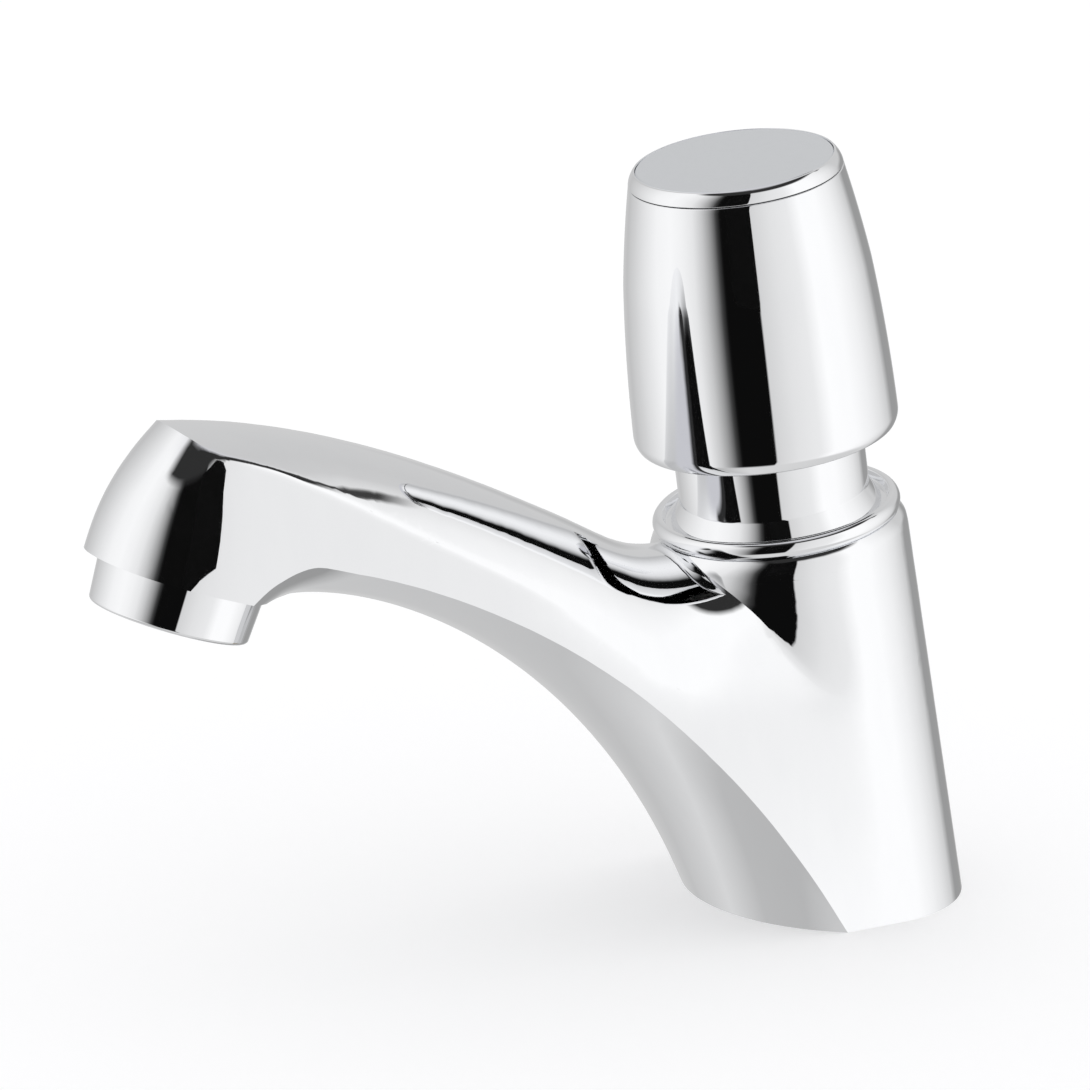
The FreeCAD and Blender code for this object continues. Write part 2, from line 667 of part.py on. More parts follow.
def below_spout():
    """Return everything under the arch and in front of the foot."""
    nose, middle, foot = (
        d.belly_radius_nose.value, d.belly_radius_middle.value, d.belly_radius_foot.value)
    start, heel, curve, end = arch_wire()
    wires = []
    for edge, count in ((start, 3), (heel, 3), (curve, ARCH_STATIONS), (end, 2)):
        low, high = edge.ParameterRange
        first = 0 if edge is start else 1
        for index in range(first, count + 1):
            place = low + (high - low) * index / count
            share = index / count if edge is curve else float(edge is end)
            radius = nose * (1 - share) ** 2 + foot * share ** 2
            radius += (4 * middle - nose - foot) * share * (1 - share)
            wires.append(belly_wire(edge.valueAt(place), edge.tangentAt(place), radius))
    return Part.makeLoft(wires, False, False).extrude(FreeCAD.Vector(0, 0, -FAR)).Solids


def under_nose():
    """Return everything under the rim of the nose."""
    radius = d.nose_radius.value
    corner = FreeCAD.Vector(-3 * radius, -3 * radius, d.aerator_drop.value - 3 * radius)
    block = Part.makeBox(4.1 * radius, 6 * radius, 3 * radius, corner)
    block.Placement = outlet_frame().multiply(block.Placement)
    return block


def round_shoulder():
    """Return the ring that rounds off the top edge of the column."""
    top, drop = d.seam_height.value, d.shoulder_drop.value
    inner, outer = d.seam_radius.value, d.column_radius.value + 2
    full = d.column_radius.value + 0.15
    corner = FreeCAD.Vector(inner, 0, top)
    foot = FreeCAD.Vector(full, 0, top - drop)
    middle = FreeCAD.Vector(inner + (full - inner) * 0.8, 0, top - drop * 0.45)
    outline = Part.Wire([
        Part.Arc(foot, middle, corner).toShape(),
        Part.LineSegment(corner, FreeCAD.Vector(inner, 0, top + 1)).toShape(),
        Part.LineSegment(FreeCAD.Vector(inner, 0, top + 1), FreeCAD.Vector(outer, 0, top + 1)).toShape(),
        Part.LineSegment(FreeCAD.Vector(outer, 0, top + 1), FreeCAD.Vector(outer, 0, top - drop)).toShape(),
        Part.LineSegment(FreeCAD.Vector(outer, 0, top - drop), foot).toShape(),
    ])
    ring = Part.Face(outline).revolve(FreeCAD.Vector(), FreeCAD.Vector(0, 0, 1), 360)
    ring.Placement = valve_frame()
    return ring


def valve_cylinder(radius, low, high):
    """Return a cylinder on the valve axis between two heights."""
    shape = Part.makeCylinder(radius.value, (high - low).value, FreeCAD.Vector(0, 0, low.value))
    shape.Placement = valve_frame().multiply(shape.Placement)
    return shape


def outlet_cylinder(radius, low, high):
    """Return a cylinder on the outlet axis between two heights."""
    shape = Part.makeCylinder(radius.value, (high - low).value, FreeCAD.Vector(0, 0, low.value))
    shape.Placement = outlet_frame().multiply(shape.Placement)
    return shape


def waterway():
    """Return the channel from the valve chamber to the hollow over the aerator."""
    radius = d.waterway_radius.value
    start = valve_frame().multVec(FreeCAD.Vector(0, 0, d.chamber_height.value - radius - 1))
    finish = outlet_frame().multVec(FreeCAD.Vector(0, 0, d.nose_cavity_height.value - radius))
    points = [start]
    arch = arch_wire()[2].Curve
    for share in (0.35, 0.68):
        across = start.x + (finish.x - start.x) * share
        points.append(FreeCAD.Vector(across, 0, (top_line(across) + height_on(arch, across)) / 2))
    points.append(finish)
    channel = []
    for first, last in zip(points, points[1:]):
        run = last - first
        channel.append(Part.makeCylinder(radius, run.Length, first, run))
    for point in points[1:-1]:
        channel.append(Part.makeSphere(radius, point))
    return channel


def body_hollows():
    """Return the bores and chambers inside the body."""
    seal_top = d.tail_engagement + d.tail_seal_thickness
    thread_floor = d.seam_height + d.dish_floor - d.neck_thread_length
    above_tail = Part.makeBox(FAR, FAR, FAR, FreeCAD.Vector(-FAR / 2, -FAR / 2, seal_top.value))
    inlet = valve_cylinder(d.inlet_radius, as_size(0), d.seat_height).common(above_tail)
    gasket = Part.makeCylinder(d.gasket_outer.value, d.gasket_depth.value)
    gasket = gasket.cut(Part.makeCylinder(d.gasket_inner.value, d.gasket_depth.value))
    cavity_floor = d.aerator_drop + d.aerator_thread_length + d.outlet_washer_thickness
    return [
        inlet,
        valve_cylinder(d.seat_radius + d.fit_gap, d.seat_height, d.seat_height + d.seat_thickness),
        valve_cylinder(d.chamber_radius, d.seat_height + d.seat_thickness, d.chamber_height),
        valve_cylinder(d.neck_thread_radius + d.fit_gap, d.chamber_height, d.seam_height + 1),
        Part.makeCylinder((d.tail_radius + d.fit_gap).value, seal_top.value),
        gasket,
        outlet_cylinder(d.aerator_thread_radius + d.fit_gap, d.aerator_drop - 1, cavity_floor),
        outlet_cylinder(d.nose_cavity_radius, cavity_floor, d.nose_cavity_height),
    ] + waterway()


def tap_body():
    """Cast body: a leaning column and a spout with a crowned top and an arched underside."""
    heights = [LOWEST_LEVEL, (LOWEST_LEVEL + RIM_LEVEL) / 3, (LOWEST_LEVEL + RIM_LEVEL) * 2 / 3]
    step = (HIGHEST_LEVEL - RIM_LEVEL) / (NOSE_LEVELS - 1)
    heights += [RIM_LEVEL + index * step for index in range(NOSE_LEVELS)]
    levels = [level_wires(height) for height in heights]
    rear, spout, front = [Part.makeLoft([level[k] for level in levels], True, True) for k in range(3)]
    rear, front = rear.cut(round_shoulder()), front.cut(round_shoulder())
    shape = spout.cut(above_spout()).fuse([rear, front]).removeSplitter()
    lid_radius = d.column_radius + d.fit_gap
    lid = valve_cylinder(lid_radius, d.seam_height, d.seam_height + FAR)
    ground = Part.makeBox(3 * FAR, FAR, FAR, FreeCAD.Vector(-2 * FAR, -FAR / 2, -FAR))
    shape = shape.cut([lid, ground]).cut(below_spout()).cut(under_nose())
    shape = max(shape.Solids, key=lambda solid: solid.Volume)
    shape = shape.cut(body_hollows())
    shape = max(shape.Solids, key=lambda solid: solid.Volume)
    feature = doc.addObject("Part::Feature", "tap_body")
    feature.Label = "tap_body"
    feature.Shape = shape
    feature.Placement = FreeCAD.Placement()
    return feature


def collar_ring():
    """Ring on top of the body with a shallow dish round the neck."""
    seam, top = d.seam_height, d.seam_height + d.collar_height
    floor = seam + d.dish_floor
    bore = d.neck_thread_radius + d.fit_gap
    outer = d.seam_radius + d.collar_bulge
    return turned("collar_ring", "valve", [
        (bore, seam),
        (d.seam_radius - d.collar_undercut, seam),
        (d.seam_radius + d.collar_step, seam + d.collar_step * 3),
        (outer - d.collar_round, top, (outer, seam + d.collar_height * 0.55)),
        (d.dish_radius, top),
        (d.dish_radius - d.dish_slope, floor),
        (bore, floor),
    ])


def neck_sleeve():
    """Chromed sleeve that screws into the body and carries the guide bush."""
    floor = d.seam_height + d.dish_floor
    low = floor - d.neck_thread_length
    top = floor + d.neck_height
    bush_top = top - d.bush_top_margin
    clip_top = bush_top + d.clip_thickness + d.fit_gap
    bush_low = bush_top - d.bush_height
    barrel_top = d.seat_height + d.seat_thickness + d.barrel_length
    bush_bore = d.bush_radius + d.fit_gap
    groove = bush_bore + d.clip_depth
    return turned("neck_sleeve", "valve", [
        (d.barrel_radius + d.fit_gap, low),
        (d.neck_thread_radius, low),
        (d.neck_thread_radius, floor),
        (d.skirt_radius, floor),
        (d.skirt_radius, floor + d.skirt_edge),
        (d.neck_radius, floor + d.skirt_height),
        (d.neck_radius, top - d.neck_chamfer),
        (d.neck_radius - d.neck_chamfer, top),
        (bush_bore, top),
        (bush_bore, clip_top),
        (groove, clip_top),
        (groove, bush_top),
        (bush_bore, bush_top),
        (bush_bore, bush_low),
        (d.spindle_radius * 2, bush_low),
        (d.spindle_radius * 2, bush_low - d.sleeve_lip),
        (d.barrel_bore + d.sleeve_relief, bush_low - d.sleeve_lip),
        (d.barrel_bore + d.sleeve_relief, barrel_top),
        (d.barrel_radius + d.fit_gap, barrel_top),
    ])


def guide_parts():
    """Bush that guides the spindle, the ring that seals it and the clip that holds it."""
    top = d.seam_height + d.dish_floor + d.neck_height - d.bush_top_margin
    low = top - d.bush_height
    bore = d.spindle_radius + d.fit_gap
    groove = bore + d.o_ring_cord * 2 + d.fit_gap
    middle = low + d.bush_height / 2
    turned("guide_bush", "valve", [
        (bore, low),
        (d.bush_radius, low),
        (d.bush_radius, top),
        (bore, top),
        (bore, middle + d.o_ring_cord + d.groove_gap),
        (groove, middle + d.o_ring_cord + d.groove_gap),
        (groove, middle - d.o_ring_cord - d.groove_gap),
        (bore, middle - d.o_ring_cord - d.groove_gap),
    ])
    o_ring("spindle_o_ring", "valve", bore + d.o_ring_cord, middle, d.o_ring_cord)
    outer = d.bush_radius + d.clip_depth
    turned("bush_clip", "valve", [
        (outer - d.clip_width, top),
        (outer, top),
        (outer, top + d.clip_thickness),
        (outer - d.clip_width, top + d.clip_thickness),
    ], angle=d.clip_angle.value)


def cartridge_parts():
    """Barrel of the valve cartridge with its windows, its ring, the seat and the seat's ring."""
    low = d.seat_height + d.seat_thickness
    top = low + d.barrel_length
    floor = low + d.barrel_floor
    groove_middle = top - 4
    groove = d.barrel_radius - d.o_ring_cord * 2
    barrel = turned("cartridge_barrel", "valve", [
        (d.port_radius, low),
        (d.barrel_radius, low),
        (d.barrel_radius, groove_middle - d.o_ring_cord - d.groove_gap),
        (groove, groove_middle - d.o_ring_cord - d.groove_gap),
        (groove, groove_middle + d.o_ring_cord + d.groove_gap),
        (d.barrel_radius, groove_middle + d.o_ring_cord + d.groove_gap),
        (d.barrel_radius, top),
        (d.barrel_bore, top),
        (d.barrel_bore, floor),
        (d.port_radius, floor),
    ])
    sill = floor + d.window_sill
    for role in ("XZ_Plane", "YZ_Plane"):
        cross_window(barrel, role, d.window_width, sill, sill + d.window_height)
    o_ring("barrel_o_ring", "valve", d.barrel_radius - d.o_ring_cord, groove_middle, d.o_ring_cord)
    middle = d.seat_height + d.seat_thickness / 2
    turned("valve_seat", "valve", [
        (d.port_radius, d.seat_height),
        (d.seat_radius, d.seat_height),
        (d.seat_radius, middle - d.o_ring_cord - d.groove_gap),
        (d.seat_radius - d.o_ring_cord * 2, middle - d.o_ring_cord - d.groove_gap),
        (d.seat_radius - d.o_ring_cord * 2, middle + d.o_ring_cord + d.groove_gap),
        (d.seat_radius, middle + d.o_ring_cord + d.groove_gap),
        (d.seat_radius, low),
        (d.port_radius, low),
    ])
    o_ring("seat_o_ring", "valve", d.seat_radius - d.o_ring_cord, middle, d.o_ring_cord)


def plunger_parts():
    """Spindle with the piston above and the valve washer below, held by a nut."""
    washer_top = d.seat_height - d.seat_gap
    washer_low = washer_top - d.washer_thickness
    backing_low = washer_low - d.backing_thickness
    nut_low = backing_low - d.stem_nut_height
    piston_top = d.piston_height + d.piston_thickness
    shoulder = d.rim_height + d.hub_rise
    spigot_top = shoulder + d.hub_thickness + d.fit_gap * 2
    hole_floor = spigot_top - d.screw_length - 1
    hole = d.screw_radius + d.fit_gap
    turned("spindle", "valve", [
        (0, nut_low - d.stem_end),
        (d.stem_radius, nut_low - d.stem_end),
        (d.stem_radius, piston_top),
        (d.spindle_radius, piston_top),
        (d.spindle_radius, shoulder),
        (d.spigot_radius, shoulder),
        (d.spigot_radius, spigot_top),
        (hole, spigot_top),
        (hole, hole_floor),
        (0, hole_floor),
    ])
    bore = d.stem_radius + d.fit_gap / 2
    piston = d.barrel_bore - d.piston_gap
    groove = piston - d.o_ring_cord * 2
    middle = d.piston_height + d.piston_thickness / 2
    turned("piston", "valve", [
        (bore, d.piston_height),
        (piston, d.piston_height),
        (piston, middle - d.o_ring_cord - d.groove_gap),
        (groove, middle - d.o_ring_cord - d.groove_gap),
        (groove, middle + d.o_ring_cord + d.groove_gap),
        (piston, middle + d.o_ring_cord + d.groove_gap),
        (piston, piston_top),
        (bore, piston_top),
    ])
    o_ring("piston_seal", "valve", piston - d.o_ring_cord + d.fit_gap, middle, d.o_ring_cord)
    turned("valve_washer", "valve", [
        (bore, washer_low), (d.washer_radius, washer_low),
        (d.washer_radius, washer_top), (bore, washer_top),
    ])
    turned("washer_backing", "valve", [
        (bore, backing_low), (d.backing_radius, backing_low),
        (d.backing_radius, washer_low), (bore, washer_low),
    ])
    hex_nut("stem_nut", "valve", d.stem_nut_radius, bore, nut_low, d.stem_nut_height)


def return_spring():
    """Compression spring between the barrel's floor and the piston: leaning half turns end to end."""
    radius, wire = d.spring_radius.value, d.spring_wire.value
    start = (d.seat_height + d.seat_thickness + d.barrel_floor + d.fit_gap).value + wire
    height = (d.piston_height - d.fit_gap).value - wire - start
    count = round(2 * d.spring_turns.value)
    rise = height / count
    lean = degrees(asin(rise / (2 * radius)))
    halves = []
    for index in range(count):
        side = 1 if index % 2 == 0 else -1
        turn = FreeCAD.Rotation(FreeCAD.Vector(1, 0, 0), side * lean)
        middle = FreeCAD.Vector(0, 0, start + rise * (index + 0.5))
        points = [
            middle + turn.multVec(FreeCAD.Vector(side * radius * cos(angle), side * radius * sin(angle), 0))
            for angle in (-pi / 2, 0, pi / 2)
        ]
        halves.append(Part.Arc(*points).toShape())
    path = Part.Wire(halves)
    section = Part.Circle(path.Vertexes[0].Point, FreeCAD.Vector(1, 0, 0), wire)
    pipe = Part.BRepOffsetAPI.MakePipeShell(path)
    pipe.setFrenetMode(True)
    pipe.add(Part.Wire(section.toShape()))
    pipe.build()
    pipe.makeSolid()
    print("return_spring gap between turns:", round(spring_gap(path, wire, radius), 3))
    feature = doc.addObject("Part::Feature", "return_spring")
    feature.Label = "return_spring"
    feature.Shape = pipe.shape()
    feature.Placement = valve_frame().multiply(feature.Placement)
    return feature


def spring_gap(path, wire, radius):
    """Return the least gap between turns, measured on points of the spring's line."""
    points = path.discretize(Distance=radius / 8)
    turn = 2 * pi * radius
    gap = FAR
    for index, point in enumerate(points):
        for other in range(index + 1, len(points)):
            if (other - index) * radius / 8 > turn / 2:
                gap = min(gap, point.distanceToPoint(points[other]) - 2 * wire)
    return gap


def button_parts():
    """Push button: shell, cap ring, index disc, hub and the screw that holds the hub."""
    inner_rim = d.belly_radius - d.shell_wall
    shell_top = d.rim_height + d.shell_rise
    ledge = d.rim_height + d.ledge_rise
    shoulder = d.rim_height + d.hub_rise
    seam = shell_top + d.cap_seam
    cap_top = seam + d.cap_height
    disc_floor = cap_top - d.disc_thickness
    hub_top = shoulder + d.fit_gap + d.hub_thickness
    turned("button_shell", "valve", [
        (inner_rim, d.rim_height),
        (d.rim_radius, d.rim_height),
        (d.belly_radius, d.rim_height + d.belly_rise,
         (d.belly_radius - d.rim_bend, d.rim_height + d.belly_rise * 0.42)),
        (d.flank_radius, d.rim_height + d.flank_rise,
         (d.waist_radius, d.rim_height + d.waist_rise)),
        (d.shell_top_radius, shell_top, (d.brow_radius, d.rim_height + d.brow_rise)),
        (d.shell_bore, shell_top),
        (d.shell_bore, ledge),
        (d.hub_flange_radius + d.press_gap, ledge),
        (d.hub_flange_radius + d.press_gap, ledge - d.hub_flange_thickness),
    ])
    turned("button_cap", "valve", [
        (d.cap_bore, hub_top),
        (d.shell_bore - d.press_gap, hub_top),
        (d.shell_bore - d.press_gap, seam),
        (d.shell_top_radius, seam),
        (d.cap_top_radius, cap_top, (d.shell_top_radius - d.cap_bend, cap_top - d.cap_bend_drop)),
        (d.disc_radius + d.fit_gap, cap_top),
        (d.disc_radius + d.fit_gap, disc_floor),
        (d.cap_bore, disc_floor),
    ])
    turned("index_disc", "valve", [
        (0, disc_floor),
        (d.disc_radius, disc_floor),
        (d.disc_radius, cap_top - d.disc_chamfer),
        (d.disc_radius - d.disc_chamfer, cap_top),
        (0, cap_top),
    ])
    flange_low = ledge - d.hub_flange_thickness
    turned("button_hub", "valve", [
        (d.spindle_radius + d.fit_gap, flange_low - 1),
        (d.hub_boss_radius, flange_low - 1),
        (d.hub_boss_radius, flange_low),
        (d.hub_flange_radius, flange_low),
        (d.hub_flange_radius, ledge),
        (d.shell_bore - d.press_gap, ledge),
        (d.shell_bore - d.press_gap, hub_top),
        (d.spigot_radius + d.fit_gap, hub_top),
        (d.spigot_radius + d.fit_gap, shoulder + d.fit_gap),
        (d.spindle_radius + d.fit_gap, shoulder + d.fit_gap),
    ])
    head_low = shoulder + d.hub_thickness + d.fit_gap * 2
    blank = turned("button_screw_blank", "valve", [
        (0, head_low - d.screw_length),
        (d.screw_radius, head_low - d.screw_length),
        (d.screw_radius, head_low),
        (d.screw_head_radius, head_low),
        (d.screw_head_radius, head_low + d.screw_head_height),
        (0, head_low + d.screw_head_height),
    ])
    pocketed("button_screw", blank, "valve", d.screw_radius,
             head_low + d.screw_head_height / 2, d.screw_head_height)


def aerator_parts():
    """Aerator that screws into the nose, with its insert, mesh and washer."""
    top = d.aerator_drop + d.aerator_thread_length
    bore = d.aerator_bore
    turned("aerator_housing", "outlet", [
        (bore - d.aerator_lip_depth, 0),
        (d.aerator_rim_radius - d.aerator_chamfer, 0),
        (d.aerator_rim_radius, d.aerator_chamfer),
        (d.aerator_top_radius, d.aerator_drop),
        (d.aerator_thread_radius, d.aerator_drop),
        (d.aerator_thread_radius, top),
        (bore, top),
        (bore, d.aerator_lip),
        (bore - d.aerator_lip_depth, d.aerator_lip),
    ])
    insert_top = d.aerator_lip + d.insert_height
    blank = turned("aerator_insert_blank", "outlet", [
        (0, d.aerator_lip), (bore - d.fit_gap, d.aerator_lip),
        (bore - d.fit_gap, insert_top), (0, insert_top),
    ])
    drilled("aerator_insert", blank, "outlet", [(bore * share, count) for share, count in INSERT_RINGS],
            d.insert_hole_radius, d.aerator_lip - 1, insert_top + 1)
    mesh_top = insert_top + d.mesh_thickness
    blank = turned("aerator_mesh_blank", "outlet", [
        (0, insert_top), (bore - d.fit_gap, insert_top),
        (bore - d.fit_gap, mesh_top), (0, mesh_top),
    ])
    drilled("aerator_mesh", blank, "outlet", [(bore * share, count) for share, count in MESH_RINGS],
            d.insert_hole_radius * 0.7, insert_top - 1, mesh_top + 1)
    turned("outlet_washer", "outlet", [
        (d.nose_cavity_radius + d.washer_overhang, top), (d.aerator_thread_radius - d.press_gap, top),
        (d.aerator_thread_radius - d.press_gap, top + d.outlet_washer_thickness),
        (d.nose_cavity_radius + d.washer_overhang, top + d.outlet_washer_thickness),
    ])


def thread_grooves(start, length):
    """Points of a thread's grooves, one ring to each turn, from a height upwards."""
    points = []
    for index in range(int(length.value / d.thread_pitch.value)):
        low = start + d.thread_pitch * index
        high = low + d.thread_pitch
        points += [
            (d.tail_radius, low + d.thread_crest / 2),
            (d.tail_radius - d.thread_depth, low + d.thread_pitch / 2),
            (d.tail_radius, high - d.thread_crest / 2),
        ]
    return points


def tail_parts():
    """Threaded tail with its seal, gasket, washers and backnut."""
    end = -d.tail_length
    turned("inlet_tail", "tail", [
        (d.tail_bore, end),
        (d.tail_radius - d.tail_chamfer, end),
        (d.tail_radius, end + d.tail_chamfer),
        *thread_grooves(end + d.tail_chamfer, d.tail_length - d.thread_runout - d.tail_chamfer),
        (d.tail_radius, d.tail_engagement),
        (d.tail_bore, d.tail_engagement),
    ])
    turned("tail_seal", "tail", [
        (d.tail_bore + d.seal_overhang, d.tail_engagement), (d.tail_radius - d.press_gap, d.tail_engagement),
        (d.tail_radius - d.press_gap, d.tail_engagement + d.tail_seal_thickness),
        (d.tail_bore + d.seal_overhang, d.tail_engagement + d.tail_seal_thickness),
    ])
    turned("base_gasket", "tail", [
        (d.gasket_inner + d.fit_gap, 0), (d.gasket_outer - d.fit_gap, 0),
        (d.gasket_outer - d.fit_gap, d.gasket_depth), (d.gasket_inner + d.fit_gap, d.gasket_depth),
    ])
    bore = d.tail_radius + d.fit_gap
    rubber_top = -d.deck_thickness
    steel_top = rubber_top - d.rubber_washer_thickness
    nut_top = steel_top - d.steel_washer_thickness
    turned("rubber_washer", "tail", [
        (bore, steel_top), (d.rubber_washer_radius, steel_top),
        (d.rubber_washer_radius, rubber_top), (bore, rubber_top),
    ])
    turned("steel_washer", "tail", [
        (bore, nut_top), (d.steel_washer_radius, nut_top),
        (d.steel_washer_radius, steel_top), (bore, steel_top),
    ])
    hex_nut("backnut", "tail", d.backnut_radius, bore, nut_top - d.backnut_height, d.backnut_height)


NODES = (
    "tap_body", "collar_ring", "neck_sleeve", "guide_bush", "spindle_o_ring", "bush_clip",
    "cartridge_barrel", "barrel_o_ring", "valve_seat", "seat_o_ring",
    "spindle", "piston", "piston_seal", "valve_washer", "washer_backing", "stem_nut",
    "return_spring",
    "button_shell", "button_cap", "index_disc", "button_hub", "button_screw",
    "aerator_housing", "aerator_insert", "aerator_mesh", "outlet_washer",
    "inlet_tail", "tail_seal", "base_gasket",
    "rubber_washer", "steel_washer", "backnut",
)


def build():
    """Build every piece and recompute the document."""
    tap_body()
    collar_ring()
    neck_sleeve()
    guide_parts()
    cartridge_parts()
    plunger_parts()
    return_spring()
    button_parts()
    aerator_parts()
    tail_parts()
    doc.recompute()


def check_objects():
    """Stop if any object of the document has failed."""
    for item in doc.Objects:
        for state in item.State:
            if state in ("Invalid", "Error"):
                raise RuntimeError(f"{item.Name} is {state}")


def export_nodes():
    """Check each sub-part's shape and write it to its own file."""
    os.makedirs("parts", exist_ok=True)
    shapes = {}
    for label in NODES:
        found = doc.getObjectsByLabel(label)
        if len(found) != 1:
            raise RuntimeError(f"{label}: {len(found)} objects have this label")
        shape = found[0].Shape
        if shape.isNull() or not shape.isValid():
            raise RuntimeError(f"{label}: the shape is not valid")
        shapes[label] = shape
    for label, shape in shapes.items():
        shape.exportStep(f"parts/{label}.step")
        print(label, len(shape.Solids), "solid", round(shape.Volume), "mm3")


build()
check_objects()
export_nodes()
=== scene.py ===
"""Looks of a push-button basin tap: its chromed pieces, its thread and washers, and the white cove it stands in."""

import json
import logging
import math
from dataclasses import dataclass
from enum import Enum
from functools import cache

import bmesh
import bpy
from mathutils import Matrix, Vector
from mathutils.bvhtree import BVHTree
from mathutils.kdtree import KDTree

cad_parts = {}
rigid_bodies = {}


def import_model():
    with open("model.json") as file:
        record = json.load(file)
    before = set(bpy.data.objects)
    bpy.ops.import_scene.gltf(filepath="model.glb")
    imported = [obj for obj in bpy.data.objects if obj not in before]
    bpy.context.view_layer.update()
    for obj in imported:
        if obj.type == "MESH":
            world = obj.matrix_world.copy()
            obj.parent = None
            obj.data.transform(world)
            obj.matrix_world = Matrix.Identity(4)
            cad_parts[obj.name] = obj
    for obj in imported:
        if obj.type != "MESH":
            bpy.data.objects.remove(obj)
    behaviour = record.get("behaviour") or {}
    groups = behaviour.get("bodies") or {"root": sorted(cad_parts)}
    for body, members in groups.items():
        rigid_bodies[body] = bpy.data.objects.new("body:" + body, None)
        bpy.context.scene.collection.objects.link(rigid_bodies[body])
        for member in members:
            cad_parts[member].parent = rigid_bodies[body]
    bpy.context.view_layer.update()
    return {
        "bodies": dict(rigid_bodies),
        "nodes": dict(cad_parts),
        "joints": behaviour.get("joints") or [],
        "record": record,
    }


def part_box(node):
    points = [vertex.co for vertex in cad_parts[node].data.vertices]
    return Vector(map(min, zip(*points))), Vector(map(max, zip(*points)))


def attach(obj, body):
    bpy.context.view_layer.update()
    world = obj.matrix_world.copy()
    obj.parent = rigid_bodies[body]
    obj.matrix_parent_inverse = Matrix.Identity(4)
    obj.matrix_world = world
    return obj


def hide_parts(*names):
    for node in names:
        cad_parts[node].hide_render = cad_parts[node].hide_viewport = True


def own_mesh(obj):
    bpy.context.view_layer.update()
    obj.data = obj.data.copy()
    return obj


MM = 0.001
DRAWN_WELD = 0.0005
PACKED_WELD = 0.000002
WHITE = (1.0, 1.0, 1.0, 1.0)
COLOUR_MIX_INPUTS = (0, 6, 7)
COLOUR_MIX_OUTPUT = 2
LOG = logging.getLogger("basin_tap")
Colour = tuple[float, float, float]
Pair = tuple[float, float]
Stops = tuple[Pair, ...] | list[Pair]
Socket = bpy.types.NodeSocket
Shape = bmesh.types.BMesh
Edges = list[bmesh.types.BMEdge]


@dataclass(frozen=True)
class Axis:
    """A line that turned pieces share: its foot in millimetres and its lean about Y in degrees."""

    foot: tuple[float, float, float]
    lean: float

    def matrix(self) -> Matrix:
        """Return the transform from the axis's own millimetres to the row frame."""
        place = Matrix.Translation(Vector(self.foot) * MM)
        turn = Matrix.Rotation(math.radians(self.lean), 4, "Y")
        return place @ turn @ Matrix.Scale(MM, 4)


VALVE = Axis((-1.25, 0.0, 0.0), -8.0)
OUTLET = Axis((-123.7, 0.0, 63.8), 18.8)
TAIL = Axis((0.0, 0.0, 0.0), 0.0)


class Grain(Enum):
    """The marks that a way of working leaves on a surface."""

    RINGS = "RINGS"
    BANDS = "BANDS"


